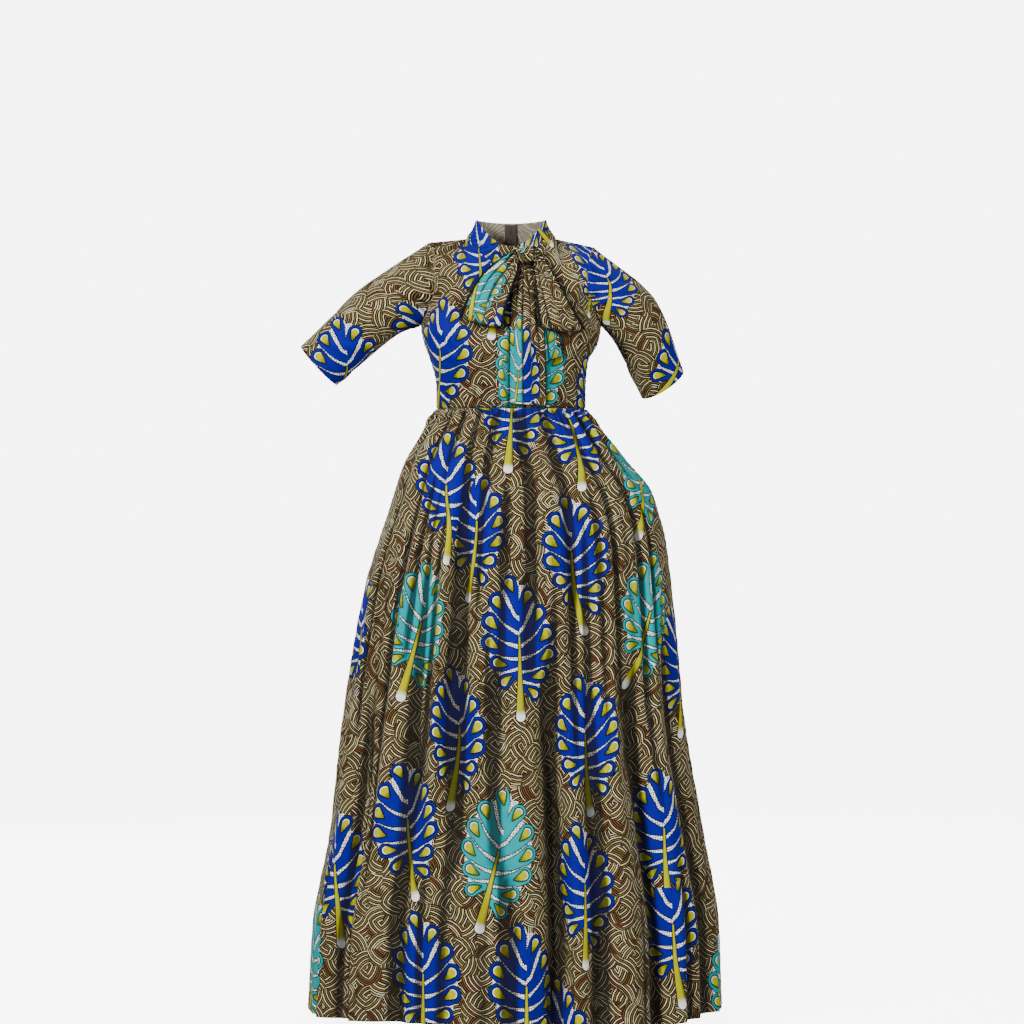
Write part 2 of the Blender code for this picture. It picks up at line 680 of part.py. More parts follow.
def loop_panel(side, tree):
    """A loop of the bow: one ribbon that runs out, folds over and comes back behind."""
    edges = LOOP_EDGES[side]
    shares = np.linspace(0, 1, LOOP_COLUMNS + 1)
    way = list(zip(LOOP_WAY["along"], LOOP_WAY["lift"]))
    grid = np.zeros((len(way), len(shares), 3))
    fold = int(np.argmax(LOOP_WAY["along"]))
    for i, (along, lift) in enumerate(way):
        outer = [smooth(edges["along"], edges["outer_" + axis], along) for axis in "xz"]
        inner = [smooth(edges["along"], edges["inner_" + axis], along) for axis in "xz"]
        for j, share in enumerate(shares):
            crown = 4 * share * (1 - share)
            x = outer[0] + (inner[0] - outer[0]) * share
            z = outer[1] + (inner[1] - outer[1]) * share - LOOP_BOW * crown * along ** 2
            arch = LOOP_ARCH * crown * min(1, lift / 10) * (1 if i < fold else 0)
            behind = front_depth(tree, x, z, LOOP_REACH * ease(-0.4, 0.3, along)) - LOOP_LAY
            held = LOOP_ROOT_Y + (behind - LOOP_ROOT_Y) * ease(0, 0.3, along)
            y = min(behind, held) - lift - arch
            grid[i, j] = (x, y, z)
    name = "bow_loop_left" if side == LEFT else "bow_loop_right"
    return panel(name, grid[:, ::-1] if side == LEFT else grid)


def add_knot():
    """The bow's knot: a short band pulled tight, with a crease down its front."""
    shell = bmesh.new()
    bmesh.ops.create_uvsphere(shell, u_segments=16, v_segments=9, radius=1.0)
    for vert in shell.verts:
        way = np.array(vert.co)
        square = np.sign(way) * np.abs(way) ** 0.8
        crease = math.exp(-(way[0] / KNOT_PINCH[1]) ** 2) if way[1] < 0.2 else 0.0
        place = np.array(KNOT) + square * KNOT_HALF * (1, 1 - KNOT_PINCH[0] * crease, 1)
        vert.co = place * MM
    bmesh.ops.recalc_face_normals(shell, faces=shell.faces)
    mesh = bpy.data.meshes.new("bow_knot")
    shell.to_mesh(mesh)
    shell.free()
    mesh.shade_smooth()
    mesh.materials.append(material("bow_knot", CLOTH, 0.75))
    bpy.context.scene.collection.objects.link(bpy.data.objects.new("bow_knot", mesh))


def pocket_bag(side, front_edge, back_edge):
    """A pocket bag behind a side seam slit, from its mouth ring to its closed end."""
    ends = (front_edge[[0, -1]] + back_edge[[0, -1]]) / 2
    up = unit(ends[0] - ends[1])
    mouth = np.concatenate([ends[:1], front_edge[1:-1], ends[1:], back_edge[1:-1][::-1]])
    middle = mouth.mean(axis=0)
    count = len(front_edge) - 1
    around = np.arccos(np.linspace(1, -1, count + 1))
    around = np.concatenate([around, 2 * math.pi - around[1:-1][::-1]])[:, None]
    straight_on = np.array([0.0, -1.0, 0.0])
    away = unit(up * np.cos(around) ** 3 + straight_on * np.sin(around)) * BAG_WALL
    for place, way in ((0, 1), (count, -1)):
        mouth[place] -= up * way * BAG_END_INSET
        away[place] = up * way * BAG_END_SEAM
    outer, inner = [mouth + away], [mouth]
    for i, deep in enumerate(BAG_RINGS["into"]):
        turn = BAG_TURN * min(1.0, deep / BAG_TURN_BY)
        into = np.array([-side * math.cos(turn), -math.sin(turn), 0.0])
        front = np.array([side * math.sin(turn), -math.cos(turn), 0.0])
        centre = middle + into * deep - up * BAG_RINGS["down"][i]
        for rings, extra in ((outer, BAG_WALL), (inner, 0.0)):
            tall = BAG_RINGS["half_tall"][i] + extra
            thick = BAG_RINGS["half_thick"][i] * BAG_FULL[side] + extra
            rings.append(centre + up * np.cos(around) * tall + front * np.sin(around) * thick)
    outer[-1] = outer[-1] + into * BAG_WALL
    return np.array(outer), np.array(inner)


def add_pocket(name, outer, inner):
    rows, columns = outer.shape[:2]
    points, faces = wall_mesh(outer, inner, True)
    shift = rows * columns
    faces = [face for face in faces if not all(int(i) % shift >= shift - columns for i in face)]
    last = list(range(shift - columns, shift))
    faces += [last, [i + shift for i in reversed(last)]]
    add_object(name, points, faces, CLOTH_INSIDE)


def zip_tape(back_tree, top):
    """The zip's tape behind the centre back seam, as one flat strip."""
    heights = np.concatenate([np.linspace(WAIST_Z - TAPE_BELOW_WAIST, WAIST_Z, 8),
                              np.linspace(WAIST_Z, top, 17)[1:]])
    rows = []
    for z in heights:
        depths = []
        for dx in np.linspace(-TAPE_HALF - 2, TAPE_HALF + 2, 9):
            for dz in (-12, -6, -1, 1, 6, 12):
                start = Vector((dx, 0, min(z + dz, top)))
                hit = back_tree.ray_cast(start, Vector((0, 1, 0)))[0]
                if hit is not None:
                    depths.append(hit.y)
        rows.append(min(depths) - 2 * SEAM)
    rows = np.array(rows)
    outer = np.array([[(-side * TAPE_HALF, y, z) for side in (-1, 0, 1)]
                      for y, z in zip(rows, heights)])
    return outer, outer - (0, TAPE_THICK, 0)


def box_points(low, high):
    (x0, y0, z0), (x1, y1, z1) = low, high
    points = [(x, y, z) for z in (z0, z1) for y in (y0, y1) for x in (x0, x1)]
    faces = [(0, 2, 3, 1), (4, 5, 7, 6), (0, 1, 5, 4), (2, 6, 7, 3), (0, 4, 6, 2), (1, 3, 7, 5)]
    return points, faces


def add_rod(name, centre, radius, length, sides):
    """A rod along X, as a plain object."""
    shell = bmesh.new()
    bmesh.ops.create_cone(shell, cap_ends=True, segments=sides, radius1=radius * MM,
                          radius2=radius * MM, depth=length * MM)
    for vert in shell.verts:
        x, y, z = vert.co
        vert.co = (z + centre[0] * MM, y + centre[1] * MM, centre[2] * MM - x)
    bmesh.ops.recalc_face_normals(shell, faces=shell.faces)
    mesh = bpy.data.meshes.new(name)
    shell.to_mesh(mesh)
    shell.free()
    rod = bpy.data.objects.new(name, mesh)
    bpy.context.scene.collection.objects.link(rod)
    return rod


def combine(thing, others, way):
    """Apply a union or a difference with helper objects, which are then removed."""
    for other in others:
        cut = thing.modifiers.new(way, "BOOLEAN")
        cut.operation = way
        cut.solver = "EXACT"
        cut.object = other
        view = bpy.context.evaluated_depsgraph_get()
        mesh = bpy.data.meshes.new_from_object(thing.evaluated_get(view))
        thing.modifiers.clear()
        old, thing.data = thing.data, mesh
        bpy.data.meshes.remove(old)
        bpy.data.objects.remove(other)
    thing.data.name = thing.name


def slab_outline(outline, low_y, high_y):
    """Points and faces of a slab with an outline in X and Z, between two depths."""
    count = len(outline)
    points = [(x, low_y, z) for x, z in outline] + [(x, high_y, z) for x, z in outline]
    faces = [tuple(range(count)), tuple(reversed(range(count, 2 * count)))]
    for i in range(count):
        k = (i + 1) % count
        faces.append((k, i, i + count, k + count))
    return points, faces


def add_slider(back_y):
    """The zip's slider at the nape: a shield-shaped body, two ears and the pin."""
    wide, deep, tall = SLIDER_SIZE
    low = SLIDER_Z - tall / 2
    one_side = [(wide / 2 * over, low + tall * up) for over, up in SLIDER_OUTLINE]
    outline = one_side + [(-x, z) for x, z in reversed(one_side)]
    slider = add_object("zip_slider", *slab_outline(outline, back_y, back_y + deep),
                        ZIP_METAL, 0.35, 0.9)
    pin_y = back_y + deep + KNUCKLE_RADIUS + PIN_CLEAR
    pin_z = SLIDER_Z
    parts = []
    inner = KNUCKLE_WIDTH / 2 + EAR_CLEAR
    for side in (LEFT, RIGHT):
        near, far = sorted((side * inner, side * (inner + EAR_THICK)))
        points, faces = box_points((near, back_y + deep / 2, pin_z - EAR_HALF),
                                   (far, pin_y + EAR_PAST_PIN, pin_z + EAR_HALF))
        parts.append(add_object(f"ear_{side}", points, faces, ZIP_METAL, 0.35, 0.9))
    parts.append(add_rod("pin", (0, pin_y, pin_z), PIN_RADIUS, 2 * inner + EAR_THICK, 12))
    combine(slider, parts, "UNION")
    return pin_y, pin_z


def add_pull(pin_y, pin_z):
    """The pull tab: a rolled knuckle on the pin and a drop-shaped tab that hangs from it."""
    half, neck = PULL_WIDTH / 2, KNUCKLE_WIDTH / 2
    low = -PULL_LENGTH
    outline = [(-neck, 0.0), (-neck, low * PULL_NECK)]
    for step in range(9):
        angle = math.pi + step * math.pi / 8
        outline.append((half * math.cos(angle), low + half + half * math.sin(angle)))
    outline += [(neck, low * PULL_NECK), (neck, 0.0)]
    points, faces = slab_outline(outline, -PULL_THICK / 2, PULL_THICK / 2)
    pull = add_object("zip_pull", points, faces, ZIP_METAL, 0.35, 0.9)
    knuckle = add_rod("knuckle", (0, 0, 0), KNUCKLE_RADIUS, KNUCKLE_WIDTH, 16)
    combine(pull, [knuckle], "UNION")
    combine(pull, [add_rod("hole", (0, 0, 0), PIN_RADIUS + PIN_CLEAR, 3 * KNUCKLE_WIDTH, 16)],
            "DIFFERENCE")
    pull.location = (0, pin_y * MM, pin_z * MM)


def clear_scene():
    for thing in list(bpy.data.objects):
        bpy.data.objects.remove(thing, do_unlink=True)


def main():
    clear_scene()
    front_grid, back_left_grid, back_right_grid = bodice_grids()
    armpit = LOW_ROW_COUNT
    neck, last = NECK_COLUMN, HALF_COLUMNS
    neck_ring = np.concatenate([
        back_left_grid[-1, :last - neck + 1], front_grid[-1, neck + 1:-neck - 1],
        back_right_grid[-1, neck:]])
    front = panel("bodice_front", front_grid)
    back_left = panel("bodice_back_left", back_left_grid)
    back_right = panel("bodice_back_right", back_right_grid)
    collar = panel("collar", collar_grid(neck_ring), group="collar")
    hole_left = np.concatenate([front_grid[armpit:, 0][::-1], back_left_grid[armpit + 1:-1, -1]])
    hole_right = np.concatenate([front_grid[armpit:, -1][::-1],
                                 back_right_grid[armpit + 1:-1, 0]])
    sleeve_left = panel("sleeve_left", sleeve_grid(LEFT, hole_left), True, "sleeve")
    sleeve_right = panel("sleeve_right", sleeve_grid(RIGHT, hole_right), True, "sleeve")
    upper = [front, back_left, back_right, collar, sleeve_left, sleeve_right]

    skirt_front_grid, skirt_left_grid, skirt_right_grid, depths = skirt_grids()
    skirt_front = panel("skirt_front", skirt_front_grid)
    skirt_left = panel("skirt_back_left", skirt_left_grid)
    skirt_right = panel("skirt_back_right", skirt_right_grid)
    skirt = [skirt_front, skirt_left, skirt_right]

    set_normals(upper)
    set_normals(skirt)
    open_slit(skirt_front["points"], LEFT, FRONT, depths)
    open_slit(skirt_front["points"], RIGHT, FRONT, depths)
    open_slit(skirt_left["points"], LEFT, BACK, depths)
    open_slit(skirt_right["points"], RIGHT, BACK, depths)
    for piece, row in ((front, 0), (back_left, 0), (back_right, 0), (skirt_front, -1),
                       (skirt_left, -1), (skirt_right, -1)):
        piece["normals"][row, :, 2] = 0.0
        piece["normals"][row] = unit(piece["normals"][row])
    for piece in (front, back_left, back_right):
        pull_back(piece, "bottom top first last")
    pull_back(collar, "bottom first last")
    for piece in (sleeve_left, sleeve_right):
        pull_back(piece, "bottom", SLEEVE_SEAM)
    for piece in skirt:
        pull_back(piece, "top first last")
    for piece in upper + skirt:
        add_cloth(piece)

    slit = [i for i, d in enumerate(depths) if SLIT_TOP <= d <= SLIT_BOTTOM]
    slit_down = slit[::-1]
    behind = WALL + BAG_GAP
    for side, name, back_piece in ((LEFT, "pocket_left", skirt_left),
                                   (RIGHT, "pocket_right", skirt_right)):
        front_column = 0 if side == LEFT else -1
        back_column = -1 if side == LEFT else 0
        edges = [piece["points"][slit_down, column]
                 - piece["normals"][slit_down, column] * behind
                 for piece, column in ((skirt_front, front_column), (back_piece, back_column))]
        add_pocket(name, *pocket_bag(side, *edges))

    under = [front["points"], collar["points"]]
    tail_right = tail_panel(RIGHT, surface_tree(under))
    under.append(tail_right["points"])
    tail_left = tail_panel(LEFT, surface_tree(under))
    under.append(tail_left["points"])
    tree = surface_tree(under)
    loops = [loop_panel(side, tree) for side in (LEFT, RIGHT)]
    for piece in (tail_right, tail_left, *loops):
        set_normals([piece])
        add_cloth(piece)
    add_knot()

    inside = surface_tree([piece["inner"] for piece in
                           (back_left, back_right, collar, skirt_left, skirt_right)])
    collar_top = COLLAR_TOP_BACK[1] - 3.0
    outer, inner = zip_tape(inside, collar_top)
    add_object("zip_tape", *wall_mesh(outer, inner, False), TAPE_BLACK, 0.8)
    wide, _, tall = SLIDER_SIZE
    nape = surface_tree([collar["points"]])
    under = [nape.ray_cast(Vector((x, 400.0, SLIDER_Z + z)), Vector((0, -1, 0)))[0].y
             for x in (-wide / 2, wide / 2) for z in (-tall / 2, 0.0, tall / 2)]
    add_pull(*add_slider(max(under) + 2 * SEAM))


main()
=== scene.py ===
# %% [markdown]
# # A wax-print maxi dress
#
# The dress is shown as it hangs when it is worn, with nothing inside it. A packed model
# gives its solids: a plain wall for each cut piece. Here each piece gets finer cloth on
# the same form, with its seams, gathers and creases, and a printed cotton finish.
# Left and right are as seen from the front. Sizes in the tables are in millimetres.

# %% Load the frame
import json
import math
from functools import partialmethod

import bpy
import numpy as np
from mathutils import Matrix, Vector
from mathutils.bvhtree import BVHTree

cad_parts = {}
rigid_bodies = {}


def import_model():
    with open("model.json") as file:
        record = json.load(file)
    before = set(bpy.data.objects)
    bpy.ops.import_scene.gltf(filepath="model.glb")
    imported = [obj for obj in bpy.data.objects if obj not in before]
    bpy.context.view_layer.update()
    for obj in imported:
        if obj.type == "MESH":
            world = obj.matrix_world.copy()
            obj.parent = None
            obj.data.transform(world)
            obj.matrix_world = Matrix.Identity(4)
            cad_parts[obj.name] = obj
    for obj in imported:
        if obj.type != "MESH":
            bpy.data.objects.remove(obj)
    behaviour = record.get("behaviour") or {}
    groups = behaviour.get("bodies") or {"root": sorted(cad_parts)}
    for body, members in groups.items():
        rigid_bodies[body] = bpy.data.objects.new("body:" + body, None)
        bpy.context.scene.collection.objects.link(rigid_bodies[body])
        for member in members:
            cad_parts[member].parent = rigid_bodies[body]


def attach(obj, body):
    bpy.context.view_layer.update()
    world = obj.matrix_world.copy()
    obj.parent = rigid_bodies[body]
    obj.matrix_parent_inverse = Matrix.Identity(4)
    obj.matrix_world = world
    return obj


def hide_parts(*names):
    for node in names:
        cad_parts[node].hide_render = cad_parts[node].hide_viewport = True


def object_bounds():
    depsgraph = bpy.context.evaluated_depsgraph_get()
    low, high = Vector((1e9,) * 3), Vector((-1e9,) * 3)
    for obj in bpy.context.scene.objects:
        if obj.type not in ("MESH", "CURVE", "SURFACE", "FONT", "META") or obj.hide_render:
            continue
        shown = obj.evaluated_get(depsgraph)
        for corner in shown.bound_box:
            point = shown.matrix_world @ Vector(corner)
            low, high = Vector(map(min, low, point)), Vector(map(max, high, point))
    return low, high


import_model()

MM = 0.001
LEFT, RIGHT = -1, 1
FRONT, BACK = -1, 1
cad_low, cad_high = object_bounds()
print("solids:", [round(high - low, 3) for low, high in zip(cad_low, cad_high)], "m")

# %% [markdown]
# ## Camera
#
# The picture was taken from far away, with the camera level with the upper skirt, so
# the dress is hardly distorted. One scale, 1.9 mm a pixel, gives the camera's distance
# and lens. The lens could be guessed and corrected by eye. Working it out keeps the
# dress at its real size in the picture.

# %% Camera
PIXELS = 1024
PIXEL_SIZE = 1.9 * MM  # what one pixel of the picture covers at the dress
CAMERA_AWAY = 7.5
CAMERA_X = PIXEL_SIZE
CAMERA_Z = -517 * MM
SENSOR = 36.0


def add_object(name, data):
    """A new object in the scene that shows this data."""
    thing = bpy.data.objects.new(name, data)
    bpy.context.scene.collection.objects.link(thing)
    return thing


def add_camera():
    """A level camera in front of the dress that shows what the picture shows."""
    data = bpy.data.cameras.new("camera")
    data.sensor_width = SENSOR
    data.lens = SENSOR * CAMERA_AWAY / (PIXELS * PIXEL_SIZE)
    data.clip_end = 100
    camera = add_object("camera", data)
    camera.location = (CAMERA_X, -CAMERA_AWAY, CAMERA_Z)
    camera.rotation_euler = (math.pi / 2, 0, 0)
    bpy.context.scene.camera = camera
    return camera


print("lens:", round(add_camera().data.lens, 1), "mm")

# %% [markdown]
# ## Light and floor
#
# Large soft lights show cloth best. A key light from the upper left draws the folds, a
# weaker one from the right keeps their shaded sides open, and one behind shows the
# back. A pale floor runs up behind the dress in one sweep, as studio paper does. The
# paper glows as if it were lit from behind and throws no light back, so it is white
# and the cloth keeps its dark folds.

# %% Light and floor
FLOOR_GAP = 10.0  # the hem hangs this far above the floor
SWEEP_FRONT, SWEEP_BACK, SWEEP_RADIUS, SWEEP_TOP = -9.0, 8.4, 1.6, 9.0
SWEEP_HALF, SWEEP_STEPS = 9.0, 12
LIGHTS = (  # name, place, size, power
    ("key", (-2.7, -3.7, 1.3), 0.9, 330.0),
    ("fill", (3.0, -3.6, -0.3), 2.6, 175.0),
    ("top", (0.2, -0.4, 3.0), 1.8, 40.0),
    ("back", (-1.4, 3.8, 0.9), 2.0, 150.0),
)
ROOM_BRIGHTNESS = 0.16
PAPER_GLOW = 6.5


def plain_material(name, colour, roughness, metallic=0.0):
    made = bpy.data.materials.new(name)
    made.use_nodes = True
    shader = made.node_tree.nodes["Principled BSDF"]
    shader.inputs["Base Color"].default_value = (*colour, 1)
    shader.inputs["Roughness"].default_value = roughness
    shader.inputs["Metallic"].default_value = metallic
    return made


def add_sweep():
    """The floor and the back wall, joined by a round bend."""
    floor_z = cad_low.z - FLOOR_GAP * MM
    profile = [(SWEEP_FRONT, floor_z)]
    for step in range(SWEEP_STEPS + 1):
        turn = step / SWEEP_STEPS * math.pi / 2
        profile.append((SWEEP_BACK + SWEEP_RADIUS * math.sin(turn),
                        floor_z + SWEEP_RADIUS * (1 - math.cos(turn))))
    profile.append((SWEEP_BACK + SWEEP_RADIUS, SWEEP_TOP))
    points = [(x, y, z) for y, z in profile for x in (-SWEEP_HALF, SWEEP_HALF)]
    faces = [(2 * i, 2 * i + 1, 2 * i + 3, 2 * i + 2) for i in range(len(profile) - 1)]
    mesh = bpy.data.meshes.new("sweep")
    mesh.from_pydata(points, [], faces)
    mesh.shade_smooth()
    paper = plain_material("studio_paper", (0.86, 0.86, 0.85), 0.9)
    shader = paper.node_tree.nodes["Principled BSDF"]
    shader.inputs["Emission Color"].default_value = (1, 1, 1, 1)
    shader.inputs["Emission Strength"].default_value = PAPER_GLOW
    mesh.materials.append(paper)
    sweep = add_object("sweep", mesh)
    sweep.visible_diffuse = False
    sweep.visible_glossy = False


def add_lights():
    middle = Vector((0, 0, (cad_low.z + cad_high.z) / 2))
    for name, place, size, power in LIGHTS:
        data = bpy.data.lights.new(name, "AREA")
        data.shape = "DISK"
        data.size = size
        data.energy = power
        light = add_object(name, data)
        light.location = place
        light.rotation_euler = (middle - Vector(place)).to_track_quat("-Z", "Y").to_euler()
    world = bpy.data.worlds.new("room")
    world.use_nodes = True
    room = world.node_tree.nodes["Background"].inputs
    room["Color"].default_value = (1, 1, 1, 1)
    room["Strength"].default_value = ROOM_BRIGHTNESS
    bpy.context.scene.world = world


add_sweep()
add_lights()
print("lights:", [name for name, *_ in LIGHTS])

# %% [markdown]
# ## Curves for cloth
#
# Every piece is cut flat and bent into shape, so each is a grid of points: rows run up
# the piece and columns run round the dress, left to front to right to back. A few rows
# are named in tables, and a smooth curve that never overshoots is read between them.
# Modelling by hand with a subdivided box would work too, but the seams of two
# neighbours would then hardly meet.

# %% Smooth curves and tables
def table(columns, rows):
    """A table's columns by name, each an array with one value for a row."""
    values = np.array(rows, float)
    return {name: values[:, i] for i, name in enumerate(columns.split())}


def smooth(keys, values, at):
    """Read a smooth curve without overshoot, through values at keys, at the places at."""
    keys, values = np.asarray(keys, float), np.asarray(values, float)
    at = np.clip(np.asarray(at, float), keys[0], keys[-1])
    step = np.diff(keys)
    tail = (1,) * (values.ndim - 1)
    rise = np.diff(values, axis=0) / step.reshape((-1,) + tail)
    slope = np.zeros_like(values)
    same_way = rise[:-1] * rise[1:] > 0
    total = np.where(same_way, rise[:-1] + rise[1:], 1.0)
    slope[1:-1] = np.where(same_way, 2 * rise[:-1] * rise[1:] / total, 0.0)
    slope[0], slope[-1] = rise[0], rise[-1]
    i = np.clip(np.searchsorted(keys, at, side="right") - 1, 0, len(step) - 1)
    t = ((at - keys[i]) / step[i]).reshape(at.shape + tail)
    h = step[i].reshape(at.shape + tail)
    return ((1 + 2 * t) * (1 - t) ** 2 * values[i] + t * (1 - t) ** 2 * h * slope[i]
            + t * t * (3 - 2 * t) * values[i + 1] + t * t * (t - 1) * h * slope[i + 1])


def finer(grid, rows, columns):
    """The same surface with more rows and columns."""
    up = np.linspace(0, len(grid) - 1, rows + 1)
    over = np.linspace(0, grid.shape[1] - 1, columns + 1)
    tall = smooth(np.arange(len(grid)), grid, up)
    return smooth(np.arange(grid.shape[1]), tall.swapaxes(0, 1), over).swapaxes(0, 1)


def ease(low, high, at):
    """A soft step from 0 at low to 1 at high."""
    t = np.clip((at - low) / (high - low), 0.0, 1.0)
    return t * t * (3 - 2 * t)


def bell(distance, width):
    """A soft hump: 1 in its middle and nearly 0 at twice its half width."""
    return np.exp(-(distance / width) ** 2)


def unit(vectors):
    return vectors / np.maximum(np.linalg.norm(vectors, axis=-1, keepdims=True), 1e-9)


def mirrored(point, side):
    """A point given for the right side, on either side."""
    return np.array(point, float) * (side, 1, 1)


print("a curve through 0, 1 and 4, at 0.5:", round(float(smooth((0, 1, 2), (0, 1, 4), 0.5)), 3))

# %% [markdown]
# ## The bodice's form
#
# A bodice is cut as a front and two back halves and shaped with darts.
# Its sections are rounded boxes at the waist and turn into lines that run from the
# armhole to the neck. The same tables as the solids' give the form, read at more places.

# %% The bodice's form
WAIST_Z = -321.0
SECTION_POWER = 2.3  # how square the sections are, 2 being an ellipse
NECK_SHARE = 0.4  # the share of half a front that lies outside the neck
SHOULDER_TIP = (155.0, 5.0, -4.0)
NECK_POINT = (86.0, 5.0, 3.0)
NECK_FRONT = (-61.0, -53.0)
NECK_BACK = (60.0, -10.0)
RIGHT_DROP = 8.0
TOP_RUN = 356.0
FINE = 6  # finer than the solids by this many times

LOW = table("run left right side_z mid_z front back", (
    (0, 141, 141, -321, -321, 100, 88),
    (47, 142, 142, -274, -282, 109, 91),
    (93, 153, 147, -228, -246, 121, 96),
    (131, 166, 166, -190, -216, 128, 100),
    (158, 171, 171, -163, -195, 130, 103),
))
HIGH_FRONT = table("run edge_x edge_y edge_z neck_x neck_y neck_z mid_y mid_z corner", (
    (180, 168, -21, -157, 136, -90, -170, -128, -179, 0),
    (208, 156, -42, -130, 121, -91, -144, -119, -158, 0),
    (258, 145, -54, -86, 104, -80, -101, -99, -121, 0),
    (312, 148, -32, -37, 93, -47, -40, -77, -86, 0.5),
))
HIGH_BACK = table("run edge_x edge_y edge_z neck_x neck_y neck_z mid_y mid_z corner", (
    (180, 168, 21, -157, 138, 82, -168, 106, -174, 0),
    (208, 157, 45, -128, 122, 91, -138, 108, -147, 0),
    (258, 148, 58, -82, 105, 90, -90, 104, -101, 0),
    (312, 150, 38, -35, 94, 55, -31, 84, -50, 0.5),
))


def neckline(start, middle, share):
    """An arc round the neck from a side point to the centre of the front or back."""
    quarter = np.asarray(share) * math.pi / 2
    x = start[0] * np.cos(quarter)
    y = start[1] + (middle[0] - start[1]) * np.sin(quarter)
    z = start[2] + (middle[1] - start[2]) * np.sin(quarter) ** 2
    return np.stack([x, y, z], -1)


def cornered_row(edge, neck, middle, columns):
    """A row that runs straight from the armhole to the neck column, then round the neck."""
    straight = np.clip(columns / NECK_SHARE, 0, 1)[:, None]
    row = edge + (neck - edge) * straight
    round_share = np.clip((columns - NECK_SHARE) / (1 - NECK_SHARE), 0, 1)
    return np.where(columns[:, None] > NECK_SHARE, neckline(neck, middle, round_share), row)


def flowing_row(edge, neck, middle, columns):
    """A row that flows through the armhole's edge, the neck column and the centre."""
    across = np.array([-1.0, 1.0, 1.0])
    centre = np.array([0.0, middle[0], middle[1]])
    keys = (0, NECK_SHARE, 1, 2 - NECK_SHARE, 2)
    return smooth(keys, [edge, neck, centre, neck * across, edge * across], columns)


def bodice_half(side, face, columns, runs):
    """Half of the bodice's front or back, edge to centre, as rows of outer points."""
    rows = []
    width = LOW["left"] if side == LEFT else LOW["right"]
    depth = LOW["front"] if face == FRONT else LOW["back"]
    power = 2 / SECTION_POWER
    around = columns * math.pi / 2
    for i in range(len(LOW["run"])):
        x = side * width[i] * np.abs(np.cos(around)) ** power
        y = face * depth[i] * np.sin(around) ** power
        z = LOW["side_z"][i] - (LOW["side_z"][i] - LOW["mid_z"][i]) * np.sin(around) ** 0.6
        rows.append(np.stack([x, y, z], -1))
    high = HIGH_FRONT if face == FRONT else HIGH_BACK
    middle_top = NECK_FRONT if face == FRONT else NECK_BACK
    drop = RIGHT_DROP if side == RIGHT else 0.0
    for i, run in enumerate(high["run"]):
        edge, neck = (mirrored([high[place + axis][i] for axis in "xyz"], side)
                      for place in ("edge_", "neck_"))
        middle = (high["mid_y"][i], high["mid_z"][i])
        edge[2] -= drop * ease(LOW["run"][-1], TOP_RUN, run)
        flowing = flowing_row(edge, neck, middle, columns)
        cornered = cornered_row(edge, neck, middle, columns)
        rows.append(flowing + (cornered - flowing) * high["corner"][i])
    tip = mirrored(SHOULDER_TIP, side) - (0, 0, drop)
    rows.append(cornered_row(tip, mirrored(NECK_POINT, side), middle_top, columns))
    places = [*LOW["run"], *high["run"], TOP_RUN]
    grid = smooth(places, np.array(rows), runs)
    grid[:, -1, 0] = np.where(columns[-1] == 1, 0.0, grid[:, -1, 0])
    return grid


def bodice_grids(fine):
    """The bodice's panels at a fineness, and the row at the armholes' foot."""
    columns = np.linspace(0, 1, 10 * fine + 1)
    low_top = LOW["run"][-1]
    runs = np.concatenate([np.linspace(0, low_top, 6 * fine + 1),
                           np.linspace(low_top, TOP_RUN, 10 * fine + 1)[1:]])
    front_left = bodice_half(LEFT, FRONT, columns, runs)
    front_right = bodice_half(RIGHT, FRONT, columns, runs)[:, ::-1]
    back_right = bodice_half(RIGHT, BACK, columns, runs)
    back_left = bodice_half(LEFT, BACK, columns, runs)[:, ::-1]
    front = np.concatenate([front_left, front_right[:, 1:]], axis=1)
    return front, back_left, back_right, 6 * fine


front_grid, back_left_grid, back_right_grid, hole_foot = bodice_grids(FINE)
print("bodice front:", front_grid.shape[:2], "rows and columns")

# %% [markdown]
# ## Collar and sleeves
#
# The band collar rises from the neckline's ring to a ring of its own. A set-in sleeve
# starts as the armhole, whatever shape that has, and becomes an oval at half length and
# at the cuff. Spinning a profile would give round sleeves that don't meet the armholes.

# %% Collar and sleeve forms
COLLAR_TOP_X = 67.0
COLLAR_TOP_SIDE = (5.0, 39.0)
COLLAR_TOP_FRONT = (-50.0, -15.0)
COLLAR_TOP_BACK = (55.0, 35.0)
COLLAR_HOLLOW = 2.5
COLLAR_ROWS = 30
SLEEVE_ROWS = 90
MID_RING_RUN = 0.42
SLEEVE_RINGS = {
    LEFT: table("x y z tall deep lean turn", (
        (241, 9, -130, 113, 116, 36, 4),
        (366, 24, -238, 101, 96, 42.7, 6),
    )),
    RIGHT: table("x y z tall deep lean turn", (
        (236, 22, -153, 112, 116, 46, 12),
        (290, 60, -272, 95, 98, 56, 16),
    )),
}


def collar_grid(base, rows):
    """The band collar, from its base ring at the neckline to its top ring."""
    share = np.linspace(0, 1, len(base) // 4 + 1)
    rings = []
    for side, middle, backwards in (
            (LEFT, COLLAR_TOP_BACK, True), (LEFT, COLLAR_TOP_FRONT, False),
            (RIGHT, COLLAR_TOP_FRONT, True), (RIGHT, COLLAR_TOP_BACK, False)):
        arc = neckline(mirrored((COLLAR_TOP_X, *COLLAR_TOP_SIDE), side), middle, share)
        rings.append(arc[::-1] if backwards else arc)
    top = np.concatenate([rings[0]] + [ring[1:] for ring in rings[1:]])
    top[[0, -1], 0] = 0.0
    rise = np.linspace(0, 1, rows + 1)[:, None, None]
    grid = base + (top - base) * rise
    middle = grid.mean(axis=1, keepdims=True)
    grid[..., :2] -= unit(grid[..., :2] - middle[..., :2]) * COLLAR_HOLLOW * np.sin(rise * math.pi)
    grid[:, [0, -1], 0] = 0.0
    return grid


